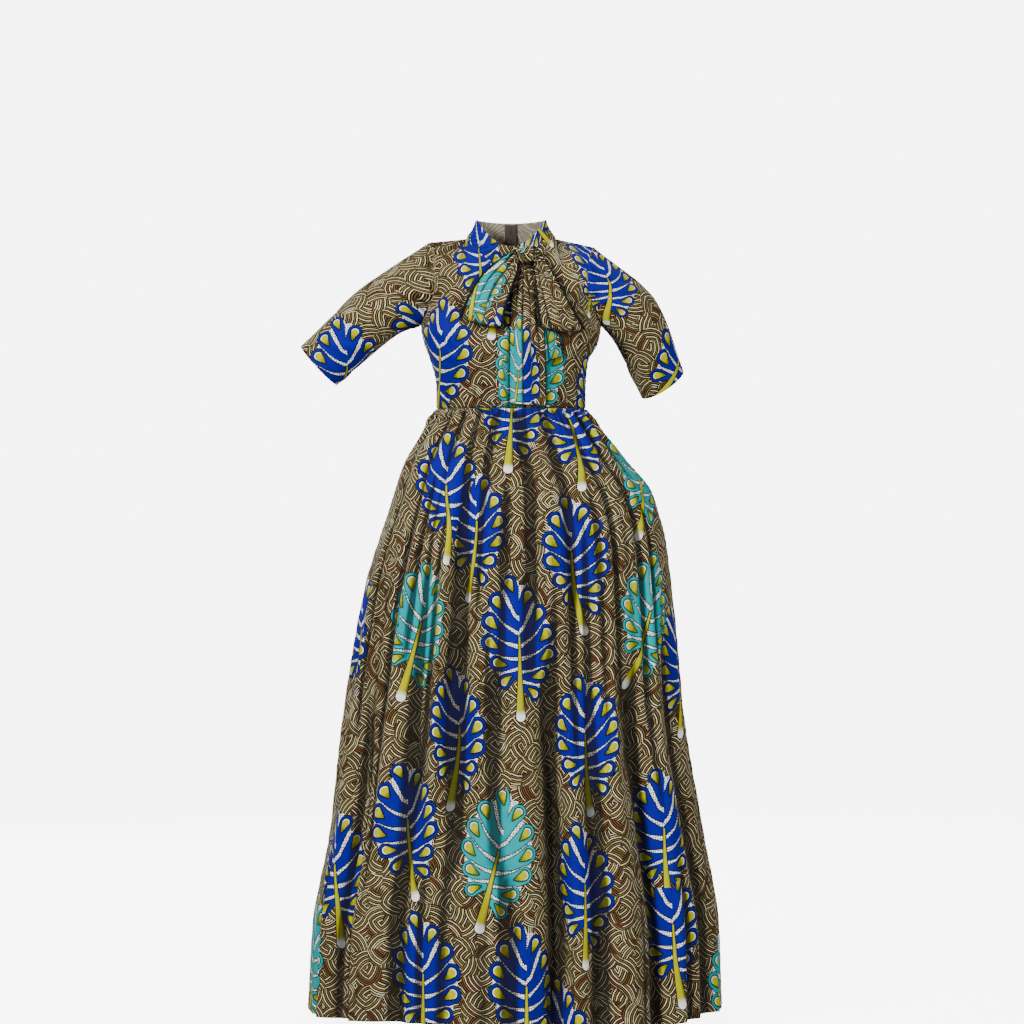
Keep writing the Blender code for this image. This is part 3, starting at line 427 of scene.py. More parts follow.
def sleeve_grid(side, armhole):
    """A set-in sleeve from the armhole's points out to the cuff."""
    rings = SLEEVE_RINGS[side]
    around = np.linspace(0, 2 * math.pi, len(armhole) + 1)[:-1, None]
    keys = [armhole]
    for i in range(len(rings["x"])):
        lean, turn = math.radians(rings["lean"][i]), math.radians(rings["turn"][i])
        axis = np.array([side * math.cos(lean) * math.cos(turn), math.sin(turn),
                         -math.sin(lean) * math.cos(turn)])
        up = np.array([side * math.sin(lean), 0.0, math.cos(lean)])
        front = side * np.cross(axis, up)
        centre = mirrored((rings["x"][i], rings["y"][i], rings["z"][i]), side)
        keys.append(centre + up * np.cos(around) * rings["tall"][i] / 2
                    + front * np.sin(around) * rings["deep"][i] / 2)
    grid = smooth((0, MID_RING_RUN, 1), np.array(keys), np.linspace(0, 1, SLEEVE_ROWS + 1))
    return grid if side == RIGHT else grid[:, ::-1]


neck = round(10 * FINE * NECK_SHARE)
neck_ring = np.concatenate([
    back_left_grid[-1, :10 * FINE - neck + 1], front_grid[-1, neck + 1:-neck - 1],
    back_right_grid[-1, neck:]])
hole_left = np.concatenate([front_grid[hole_foot:, 0][::-1], back_left_grid[hole_foot + 1:-1, -1]])
hole_right = np.concatenate([front_grid[hole_foot:, -1][::-1],
                             back_right_grid[hole_foot + 1:-1, 0]])
print("neck ring:", len(neck_ring), "points, armholes:", len(hole_left), "points")

# %% [markdown]
# ## The skirt's form
#
# The skirt is cut wide and gathered into the waist seam. Below, the spare cloth hangs
# in long folds of uneven depth that start at different heights. The gathers are a wave
# round the waist that fades downwards, and each long fold is a soft trough with a low
# ridge at its sides, placed by hand. A cloth simulation would find folds of its own,
# which couldn't match the picture's.

# %% The skirt's form
SKIRT_LENGTH = 1132.0
GATHER_COUNT = 24
GATHER_HEIGHT = 6.5
GATHER_UNEVEN = 0.3
GATHER_FADE = (150.0, 45.0)
GATHER_AT_SEAM = 0.12
GATHER_FULL_BY = 22.0
GATHER_DRIFT = ((3, 0.055, 0.5), (5, 0.035, 2.0))
FOLD_EASE_IN = 260.0
FOLD_EASE_OUT = 300.0
CALM_WIDTH = math.radians(13)
CALM_SHARE = 0.9
CALM_BETWEEN = ((15, 45), (210, 330))
SKIRT = table("below left right front back", (
    (0, 141, 141, 100, 88),
    (20, 153, 157, 115, 102),
    (60, 177, 188, 137, 124),
    (100, 199, 216, 152, 140),
    (160, 220, 264, 172, 162),
    (250, 251, 294, 196, 190),
    (340, 275, 304, 214, 212),
    (570, 314, 321, 244, 250),
    (800, 343, 360, 268, 282),
    (980, 377, 392, 288, 308),
    (1132, 385, 398, 300, 328),
))
SKIRT_FOLDS = table("angle hem_angle start end depth width", (
    (-17, -14, 60, 900, 32, 21), (-7, -5, 150, 800, 13, 15), (3, 2, 90, 640, 15, 16),
    (12, 9, 330, 1500, 29, 24), (24, 21, 110, 1300, 19, 22), (44, 40, 420, 1500, 24, 30),
    (-33, -31, 200, 1500, 16, 28), (-58, -55, 480, 1500, 22, 32), (70, 66, 300, 1500, 14, 30),
    (-78, -80, 160, 900, 10, 26), (104, 106, 260, 1500, 20, 30), (126, 124, 120, 1500, 26, 26),
    (147, 143, 90, 900, 22, 24), (164, 160, 330, 1500, 25, 28), (-172, -175, 140, 1200, 18, 24),
    (-154, -150, 80, 1500, 28, 26), (-134, -136, 380, 1500, 22, 30),
    (-112, -115, 200, 1500, 24, 30),
))
HEM_DIPS = table("angle drop width", (
    (-3, 12, 9), (34, 13, 20), (-62, 5, 18), (120, 9, 22), (-145, 8, 20), (-176, 5, 14),
))


def angle_between(angle, other):
    return (angle - other + math.pi) % (2 * math.pi) - math.pi


def skirt_base(angle, below):
    """The skirt's plain sections, before any fold, at angles from the centre front."""
    sine, cosine = np.sin(angle), np.cos(angle)
    reach = {name: smooth(SKIRT["below"], SKIRT[name], below)
             for name in ("left", "right", "front", "back")}
    power = 2 / SECTION_POWER
    wide = np.where(sine < 0, reach["left"], reach["right"])
    deep = np.where(cosine > 0, reach["front"], reach["back"])
    x = wide * np.sign(sine) * np.abs(sine) ** power
    y = -deep * np.sign(cosine) * np.abs(cosine) ** power
    return x, y


def fold_shape(distance):
    """A soft trough of depth 1 with a low ridge on each side."""
    return -bell(distance, 1) + 0.4 * bell(np.abs(distance) - 1.8, 0.8)


def folds_relief(angle, below, folds):
    """Long folds, each at its own angle, start, end, depth and half width."""
    radius = smooth(SKIRT["below"], (SKIRT["left"] + SKIRT["right"] + SKIRT["front"]
                                     + SKIRT["back"]) / 4, below)
    relief = np.zeros_like(angle)
    for i, depth in enumerate(folds["depth"]):
        top, hem = folds["angle"][i], folds["hem_angle"][i]
        centre = np.radians(top + (hem - top) * below / SKIRT_LENGTH)
        distance = angle_between(angle, centre) * radius / folds["width"][i]
        start, end = folds["start"][i], folds["end"][i]
        length = ease(start, start + FOLD_EASE_IN, below)
        length = length * (1 - ease(end - FOLD_EASE_OUT, end, below))
        relief += depth * length * fold_shape(distance)
    return relief


def gather_wave(angle):
    """The angle at which the gathers' wave is read, so that they are unevenly spaced."""
    return angle + sum(reach * np.sin(waves * angle + start)
                       for waves, reach, start in GATHER_DRIFT)


def pocket_calm(angle, below):
    """How far the cloth beside a side seam is stilled by the pocket behind it."""
    beside = angle_between(np.abs(angle_between(angle, 0)), math.pi / 2)
    calm = CALM_SHARE * bell(beside, CALM_WIDTH)
    return calm * ease(*CALM_BETWEEN[0], below) * (1 - ease(*CALM_BETWEEN[1], below))


def skirt_relief(angle, below):
    """How far the skirt stands out of its plain section: waist gathers and long folds."""
    fade = GATHER_FADE[0] + GATHER_FADE[1] * np.sin(4 * angle + 1.0)
    rise = GATHER_AT_SEAM + (1 - GATHER_AT_SEAM) * ease(0, GATHER_FULL_BY, below)
    strength = rise * np.exp(-(below / fade) ** 1.6)
    height = GATHER_HEIGHT * (1 + GATHER_UNEVEN * np.sin(7 * angle + 0.7))
    relief = height * strength * np.cos(GATHER_COUNT * gather_wave(angle))
    relief = relief + folds_relief(angle, below, SKIRT_FOLDS)
    return relief * (1 - pocket_calm(angle, below))


def hem_drop(angle):
    drop = np.zeros_like(angle)
    for i, depth in enumerate(HEM_DIPS["drop"]):
        away = angle_between(angle, math.radians(HEM_DIPS["angle"][i]))
        drop = drop + depth * bell(away, math.radians(HEM_DIPS["width"][i]))
    return drop


def skirt_grid(angles, depths):
    """The skirt's outer points, rows from the waist down and columns round it."""
    angle, below = np.meshgrid(angles, depths)
    x, y = skirt_base(angle, below)
    ahead_x, ahead_y = skirt_base(angle + 0.01, below)
    behind_x, behind_y = skirt_base(angle - 0.01, below)
    way = unit(np.stack([ahead_x - behind_x, ahead_y - behind_y], -1))
    relief = skirt_relief(angle, below) + fine_folds(angle, below)
    z = WAIST_Z - below - hem_drop(angle) * (below / SKIRT_LENGTH) ** 3
    return np.stack([x + way[..., 1] * relief, y - way[..., 0] * relief, z], -1)


print("long folds:", len(SKIRT_FOLDS["depth"]), "gathers:", GATHER_COUNT)

# %% [markdown]
# ## Finer folds
#
# Between the main folds real cloth is never smooth. Small tucks crowd under the waist
# seam, where the gather thread pulls them up, and thin creases run down from them at
# uneven distances. They are too fine for the solids, so they are added here only.

# %% Finer folds
TUCK_COUNT = 61
TUCK_HEIGHT = 1.9
TUCK_FADE = 34.0
FINE_FOLDS = table("angle hem_angle start end depth width", (
    (-21, -18, 20, 780, 10, 9), (-11, -9, 10, 540, 8, 7), (-2, -2, 40, 700, 7, 8),
    (6, 5, 20, 560, 8, 8), (19, 18, 20, 800, 10, 9), (31, 29, 60, 820, 6, 9),
    (38, 35, 10, 480, 6, 8), (52, 50, 40, 900, 6, 10), (61, 58, 80, 640, 5, 9),
    (-27, -24, 40, 760, 6, 9), (-40, -37, 10, 560, 6, 8), (-47, -45, 90, 980, 7, 10),
    (-66, -62, 60, 700, 6, 9), (10, 10, 480, 1500, 13, 12), (43, 42, 620, 1500, 12, 12),
    (-1, 0, 760, 1500, 7, 11), (-24, -23, 700, 1500, 7, 12), (-52, -51, 560, 1500, 11, 13),
    (57, 54, 760, 1500, 8, 13), (79, 78, 640, 1500, 7, 14), (-70, -69, 720, 1500, 7, 13),
    (95, 96, 420, 1500, 7, 12), (115, 115, 30, 640, 6, 9), (136, 134, 60, 1500, 7, 11),
    (156, 153, 40, 820, 6, 9), (172, 170, 700, 1500, 8, 12), (-164, -163, 30, 700, 6, 10),
    (-144, -143, 300, 1500, 7, 11), (-123, -124, 20, 900, 6, 10), (-101, -103, 360, 1500, 7, 12),
))


def fine_folds(angle, below):
    """Tucks under the waist seam and thin creases below them."""
    wave = TUCK_COUNT * (angle + 0.04 * np.sin(9 * angle) + 0.02 * np.sin(23 * angle + 1.0))
    fade = TUCK_FADE * (1 + 0.5 * np.sin(13 * angle + 0.4))
    tucks = TUCK_HEIGHT * ease(0, 9, below) * np.exp(-(below / fade) ** 1.4) * np.cos(wave)
    creases = folds_relief(angle, below, FINE_FOLDS)
    return (tucks + creases) * (1 - pocket_calm(angle, below)) * ease(0, 6, below)


SKIRT_HALF_COLUMNS = 240
SKIRT_ROWS = np.concatenate([np.linspace(0, 60, 21), np.linspace(60, 250, 42)[1:],
                             np.linspace(250, 1102, 84)[1:],
                             np.linspace(1102, SKIRT_LENGTH, 9)[1:]])
SLIT_TOP, SLIT_BOTTOM = 50.0, 200.0
SLIT_OPEN = {LEFT: 9.0, RIGHT: 21.0}
SLIT_REACH = 0.1  # the share of half the front that moves with a slit's lip
SLIT_SHARES = {FRONT: 0.62, BACK: 0.38}
SLIT_OUT = {FRONT: 0.3, BACK: 0.09}


def open_slit(grid, side, face, depths):
    """Move a panel's side edge and the columns beside it to hold its pocket slit open."""
    share = np.clip((depths - SLIT_TOP) / (SLIT_BOTTOM - SLIT_TOP), 0, 1)
    gape = SLIT_OPEN[side] * np.sin(share * math.pi)
    reach = round(SKIRT_HALF_COLUMNS * SLIT_REACH)
    for column in range(reach):
        fade = (1 - column / reach) ** 2
        index = column if side * face > 0 else -1 - column
        grid[:, index, 1] += face * gape * SLIT_SHARES[face] * fade
        grid[:, index, 0] += side * gape * SLIT_OUT[face] * fade


def skirt_grids():
    """The skirt's front and back halves, columns left to front to right to back."""
    depths = SKIRT_ROWS[::-1]
    quarter = math.pi / 2
    front = skirt_grid(np.linspace(-quarter, quarter, SKIRT_HALF_COLUMNS + 1), depths)
    back_columns = SKIRT_HALF_COLUMNS // 2 + 1
    right = skirt_grid(np.linspace(quarter, 2 * quarter, back_columns), depths)
    left = skirt_grid(np.linspace(-2 * quarter, -quarter, back_columns), depths)
    right[:, -1, 0] = left[:, 0, 0] = 0.0
    return front, left, right, depths


skirt_front_grid, skirt_left_grid, skirt_right_grid, depths = skirt_grids()
print("skirt front:", skirt_front_grid.shape[:2], "rows and columns")

# %% [markdown]
# ## From a grid to a piece of cloth
#
# A panel is a grid with the direction that each point faces. Panels that are sewn
# together share the directions along their seam, so the seam closes. Seams pull the
# cloth in a little and pucker it beside the stitches. A wall under a millimetre thick
# is then built inwards. A Solidify modifier could do that, but the slits' lips and
# the seams need their own directions.

# %% Panels, seams and creases
WALL = 0.8
SEAM_DIP, SEAM_DIP_WIDTH = 1.1, 2.0
SEAM_RIDGE, SEAM_RIDGE_AT, SEAM_RIDGE_WIDTH = 0.45, 4.5, 2.4
PUCKER, PUCKER_REACH, PUCKER_STEP = 0.55, 8.0, 13.0
HEM_WIDTH, HEM_STEP, HEM_DENT = 24.0, 0.45, 0.4


def panel(node, grid, sewn="", loop=False, group="main"):
    """A cut piece: its outer points, the edges that are sewn, and whether it closes."""
    return {"node": node, "name": node + "_cloth", "points": grid, "sewn": sewn.split(),
            "loop": loop, "group": group}


def closed(piece):
    """A piece's points, with its first column again at the end if it is a ring."""
    points = piece["points"]
    return np.concatenate([points, points[:, :1]], axis=1) if piece["loop"] else points


def point_keys(points):
    return [tuple(key) for key in np.round(points.reshape(-1, 3), 2) + 0.0]


def edge_points(shape, loop):
    """The places in a flattened grid that lie on its edges."""
    spot = np.arange(shape[0] * shape[1]).reshape(shape)
    sides = [] if loop else [spot[:, 0], spot[:, -1]]
    return np.unique(np.concatenate([spot[0], spot[-1], *sides]))


def set_normals(panels):
    """Give each point the mean direction of its cells, shared along the seams."""
    sums = {}
    for piece in panels:
        points = piece["points"]
        wide = closed(piece)
        cells = unit(np.cross(wide[1:, 1:] - wide[:-1, :-1], wide[1:, :-1] - wide[:-1, 1:]))
        rows, columns = points.shape[:2]
        normals = np.zeros_like(points)
        for down in (0, 1):
            for over in (0, 1):
                place = (np.arange(cells.shape[1]) + over) % columns
                np.add.at(normals, (np.arange(rows - 1)[:, None] + down, place[None]), cells)
        piece["normals"] = normals
        piece["edge"] = edge_points(points.shape[:2], piece["loop"])
        piece["keys"] = point_keys(points.reshape(-1, 3)[piece["edge"]])
        for key, normal in zip(piece["keys"], normals.reshape(-1, 3)[piece["edge"]]):
            groups = sums.setdefault(key, {})
            groups[piece["group"]] = groups.get(piece["group"], 0) + normal
    for piece in panels:
        flat = unit(piece["normals"]).reshape(-1, 3)
        for place, key in zip(piece["edge"], piece["keys"]):
            flat[place] = unit(sum(unit(part) for part in sums[key].values()))
        piece["normals"] = flat.reshape(piece["points"].shape)


def lengths(points, axis):
    """How far each point lies along its row or column, from the grid's first edge."""
    steps = np.linalg.norm(np.diff(points, axis=axis), axis=-1)
    return np.insert(np.cumsum(steps, axis=axis), 0, 0.0, axis=axis)


def edge_distance(piece, edge):
    """Each point's distance to one of its panel's edges, along the cloth."""
    far = lengths(piece["points"], 1 if edge in ("first", "last") else 0)
    if edge == "first" or edge == "bottom":
        return far
    return (far[:, -1:] if edge == "last" else far[-1:]) - far


def seam_relief(piece, edge):
    """The dip at a seam, the ridge beside it and the puckers that the stitches pull."""
    distance = edge_distance(piece, edge)
    along = lengths(piece["points"], 0 if edge in ("first", "last") else 1)
    dip = -SEAM_DIP * bell(distance, SEAM_DIP_WIDTH)
    ridge = SEAM_RIDGE * bell(distance - SEAM_RIDGE_AT, SEAM_RIDGE_WIDTH)
    wave = np.sin(along * 2 * math.pi / PUCKER_STEP + 2.1 * np.sin(along / 31))
    near = distance / PUCKER_REACH * np.exp(1 - distance / PUCKER_REACH)
    return dip + ridge + PUCKER * wave * near


def crease_relief(piece, creases):
    """Soft creases between two places on the cut piece, each with a depth and a width."""
    u, v = piece["u"], piece["v"]
    relief = np.zeros(u.shape)
    for u0, v0, u1, v1, depth, width in creases:
        way = np.array([u1 - u0, v1 - v0], float)
        length = np.hypot(*way)
        along = ((u - u0) * way[0] + (v - v0) * way[1]) / length ** 2
        bend = 0.10 * length * np.sin(np.clip(along, 0, 1) * math.pi)
        across = ((v - v0) * way[0] - (u - u0) * way[1]) / length - bend
        taper = np.sin(np.clip(along, 0, 1) * math.pi) ** 0.8
        relief += depth * taper * fold_shape(across / width)
    return -relief


def press(piece, creases=(), hem=None):
    """Add a panel's seams, puckers, creases and hem to its form."""
    relief = crease_relief(piece, creases)
    for edge in piece["sewn"]:
        relief = relief * ease(0, 14, edge_distance(piece, edge))
    for edge in piece["sewn"]:
        relief = relief + seam_relief(piece, edge)
    if hem:
        distance = edge_distance(piece, hem)
        relief = relief + HEM_STEP * (1 - ease(HEM_WIDTH - 2, HEM_WIDTH + 1, distance))
        relief = relief - HEM_DENT * bell(distance - HEM_WIDTH + 1, 1.4)
    piece["points"] = piece["points"] + piece["normals"] * relief[..., None]


print("wall:", WALL, "mm, hems:", HEM_WIDTH, "mm")

# %% [markdown]
# ## Where the print lies
#
# Printed cloth is flat before it is cut, so the pattern needs the cloth's own flat
# coordinates: how far along the row and how far up the column each point lies. They
# become a UV map in metres. A second map holds the place within the nearest leaf, so
# a leaf can stand anywhere, upright or tilted, and be cut off at a seam as printed
# cloth is. Its horizontal value also says which colour the leaf has.

# %% Flat coordinates and leaves
BLUE, TURQUOISE = 1.0, 3.0  # metres added to a leaf's horizontal value
NO_LEAF = -5.0
LEAF_REACH = (86.0, 118.0, -176.0)  # how far a leaf reaches sideways, up and down


def lay_flat(piece, level=None, cuff=False):
    """Give a panel its flat coordinates.

    With a level, v is the height there and follows each column. With cuff, it is the
    distance to the cuff along each column. Otherwise each row has one v.
    """
    points = closed(piece)
    along, up = lengths(points, 1), lengths(points, 0)
    middle = along.shape[1] // 2
    u = along - along[:, middle:middle + 1]
    if cuff:
        v = up - up[-1:]
    elif level is None:
        v = np.repeat(up.mean(axis=1, keepdims=True), up.shape[1], axis=1)
        v = v - v[-1:]
    else:
        row = np.argmin(np.abs(points[..., 2] - level), axis=0)
        column = np.arange(points.shape[1])
        v = up - up[row, column] + points[row, column, 2]
    piece["u_wide"], piece["v_wide"] = u, v
    columns = piece["points"].shape[1]
    piece["u"], piece["v"] = u[:, :columns], v[:, :columns]


def seen_from_front(points):
    """Where the camera sees points, as x and z in the plane of the frame's origin."""
    lens = CAMERA_AWAY / (CAMERA_AWAY + points[..., 1] * MM)
    middle = np.array([CAMERA_X, CAMERA_Z]) / MM
    return (points[..., [0, 2]] - middle) * lens[..., None] + middle


def nearest_place(piece, x, z, face):
    """The grid place that is seen at x and z from the front, or as the back's mirror."""
    points = piece["points"]
    seen = seen_from_front(points * (1, -face, 1))
    away = np.hypot(seen[..., 0] - x, seen[..., 1] - z)
    hidden = piece["normals"][..., 1] * face < 0.15
    return np.unravel_index(np.argmin(away + 1000 * hidden), away.shape)


def leaf_frame(piece, x, z, face, tilt):
    """A leaf's middle and its upward direction, in a panel's flat coordinates."""
    i, j = nearest_place(piece, x, z, face)
    i, j = min(max(i, 2), piece["u"].shape[0] - 3), min(max(j, 2), piece["u"].shape[1] - 3)
    points, flat = piece["points"], np.stack([piece["u"], piece["v"]], -1)
    over, up = points[i, j + 2] - points[i, j - 2], points[i + 2, j] - points[i - 2, j]
    seen = np.array([[over[0], up[0]], [over[2], up[2]]])
    want = np.array([math.sin(math.radians(tilt)), math.cos(math.radians(tilt))])
    step = np.linalg.solve(seen, want)
    flat_over, flat_up = flat[i, j + 2] - flat[i, j - 2], flat[i + 2, j] - flat[i - 2, j]
    way = flat_over * step[0] + flat_up * step[1]
    shift = np.array([x, z]) - seen_from_front(points[i, j] * (1, -face, 1))
    step = np.clip(np.linalg.solve(seen, shift), -4, 4)
    middle = flat[i, j] + flat_over * step[0] + flat_up * step[1]
    return middle, way / np.linalg.norm(way)


def cell_corners(piece):
    """The flat coordinates of the four corners of each cell."""
    return np.stack([np.stack([grid[:-1, :-1], grid[:-1, 1:], grid[1:, 1:], grid[1:, :-1]], -1)
                     for grid in (piece["u_wide"], piece["v_wide"])], -1)


def leaf_map(piece, leaves):
    """For each cell, the places of its four corners within the nearest leaf, in metres."""
    corners = cell_corners(piece)
    centre = corners.mean(axis=2)
    best = np.full(centre.shape[:2], 1.0)
    result = np.full(corners.shape, NO_LEAF)
    for colour, size, middle, way in leaves:
        side = np.array([way[1], -way[0]])
        local = [(centre - middle) @ axis / scale for axis, scale in zip((side, way), size)]
        reach = np.where(local[1] > 0, LEAF_REACH[1], LEAF_REACH[2])
        score = (local[0] / LEAF_REACH[0]) ** 2 + (local[1] / reach) ** 2
        chosen = score < best
        best = np.where(chosen, score, best)
        place = np.stack([(corners - middle) @ side, (corners - middle) @ way], -1) / size * MM
        place[..., 0] += colour
        result[chosen] = place[chosen]
    return result


print("a leaf may reach", LEAF_REACH, "mm")

# %% [markdown]
# ## Building a piece
#
# The outer and inner grids become one closed mesh with both UV maps. The outer faces
# take the printed side of the cloth and the inner faces its paler wrong side. Each
# point also gets painted shade, the fold attribute, darker the deeper it lies in a fold.

# %% Building a piece of cloth
# Painted shade in folds: the reaches it looks over and the depth that makes it darkest.
FOLD_REACHES = (1, 2, 4)  # in columns
FOLD_DEEP, PLEAT_DEEP = 0.6, 0.5  # millimetres for a reach of one column


def grid_faces(rows, columns, loop):
    """Corner numbers of a grid's cells, in mesh points and in UV points."""
    spans = columns if loop else columns - 1
    i, j = np.meshgrid(np.arange(rows - 1), np.arange(spans), indexing="ij")
    after = (j + 1) % columns
    return np.stack([i * columns + j, i * columns + after, (i + 1) * columns + after,
                     (i + 1) * columns + j], -1).reshape(-1, 4)


def rim_pairs(rows, columns, loop):
    """Pairs of neighbouring points round a grid's open edges, and their cells."""
    spans = columns if loop else columns - 1
    pairs = [((j + 1) % columns, j, j) for j in range(spans)]
    top = (rows - 1) * columns
    pairs += [(top + j, top + (j + 1) % columns, (rows - 2) * spans + j) for j in range(spans)]
    if not loop:
        for i in range(rows - 1):
            pairs.append((i * columns, (i + 1) * columns, i * spans))
            last = columns - 1
            pairs.append(((i + 1) * columns + last, i * columns + last, i * spans + spans - 1))
    return pairs


def painted_fold_shade(piece, deep):
    """How deep each point lies in a fold, by the points beside it: its painted shade, 0 to 1."""
    points, normals = piece["points"], piece["normals"]
    depth = np.zeros(points.shape[:2])
    for reach in FOLD_REACHES:
        if piece["loop"]:
            beside = np.roll(points, reach, 1) + np.roll(points, -reach, 1)
        else:
            places = np.arange(points.shape[1])
            beside = (points[:, np.clip(places - reach, 0, places[-1])]
                      + points[:, np.clip(places + reach, 0, places[-1])])
            beside[:, :reach] = 2 * points[:, :reach]
            beside[:, -reach:] = 2 * points[:, -reach:]
        sunk = ((beside / 2 - points) * normals).sum(axis=-1)
        depth = np.maximum(depth, sunk / (deep * reach ** 0.7))
    return np.clip(depth, 0, 1) ** 1.3


def cloth_piece(piece, materials, leaves=(), thickness=WALL, shift=(0, 0),
                bound=(0, 0), deep=FOLD_DEEP):
    """A named object: a closed thin wall of cloth on a panel's form, with its print.

    The first and last columns and the first rows that bound gives, and the cut edges, are
    covered by edge thread, which is near-black and also paints the shadow at the rims.
    """
    outer, loop = piece["points"], piece["loop"]
    inner = outer - piece["normals"] * thickness
    rows, columns = outer.shape[:2]
    cells = grid_faces(rows, columns, loop)
    rim = rim_pairs(rows, columns, loop)
    behind = rows * columns
    sides = np.array([(a, b, b + behind, a + behind) for a, b, _ in rim])
    faces = np.concatenate([cells, cells[:, ::-1] + behind, sides])
    mesh = bpy.data.meshes.new(piece["name"])
    points = np.concatenate([outer.reshape(-1, 3), inner.reshape(-1, 3)]) * MM
    mesh.vertices.add(len(points))
    mesh.vertices.foreach_set("co", points.ravel())
    mesh.loops.add(faces.size)
    mesh.loops.foreach_set("vertex_index", faces.ravel().astype(np.int32))
    mesh.polygons.add(len(faces))
    mesh.polygons.foreach_set("loop_start", np.arange(len(faces), dtype=np.int32) * 4)
    kind = np.zeros(len(faces), np.int32)
    kind[len(cells):2 * len(cells)] = 1
    if any(bound):
        edge = np.zeros((rows - 1, columns - 1), bool)
        edge[:, :bound[0]] = edge[:, columns - 1 - bound[0]:] = True
        edge[:bound[1]] = True
        kind[:2 * len(cells)][np.tile(edge.ravel(), 2)] = 2
        kind[2 * len(cells):] = 2
    for made in materials:
        mesh.materials.append(made)
    mesh.polygons.foreach_set("material_index", kind)
    flat = (cell_corners(piece) + shift) * MM
    for name, corners in (("cloth", flat), ("leaf", leaf_map(piece, leaves))):
        corners = corners.reshape(-1, 4, 2)
        edge = corners[[cell for _, _, cell in rim]]
        layer = mesh.uv_layers.new(name=name)
        values = np.concatenate([corners, corners[:, ::-1], edge])
        layer.data.foreach_set("uv", values.ravel())
    # Painted shade: each point's darkening by how deep it lies in a fold.
    mesh.attributes.new("fold", "FLOAT", "POINT")
    mesh.attributes["fold"].data.foreach_set("value", np.tile(painted_fold_shade(piece, deep).ravel(), 2))
    mesh.update(calc_edges=True)
    mesh.validate()
    mesh.shade_smooth()
    thing = add_object(piece["name"], mesh)
    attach(thing, "dress")
    return thing


def declare_sheet(thing, piece):
    """State the flat cut of a piece: its widest row, its length and its area."""
    points = closed(piece)
    wide = lengths(points, 1)[:, -1].max() * MM
    tall = lengths(points, 0)[-1].max() * MM
    one = points[1:, 1:] - points[:-1, :-1]
    two = points[1:, :-1] - points[:-1, 1:]
    area = float(np.linalg.norm(np.cross(one, two), axis=-1).sum() / 2) * MM ** 2
    area = min(area, wide * tall)
    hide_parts(piece["node"])
    print(f"{thing.name}: cut {wide:.3f} x {tall:.3f} m, {area:.3f} square metres")
    return area

# %% [markdown]
# ## The print
#
# The cloth is cotton printed on one side: bundles of short curved strokes in cream and
# tan on a brown that is nearly black, and large leaves over them. A leaf has twelve
# lobes on a yellow stem, and each lobe holds a yellow seed. An image could carry such a
# pattern. Here it is worked out from formulas, so it stays sharp however near one looks.

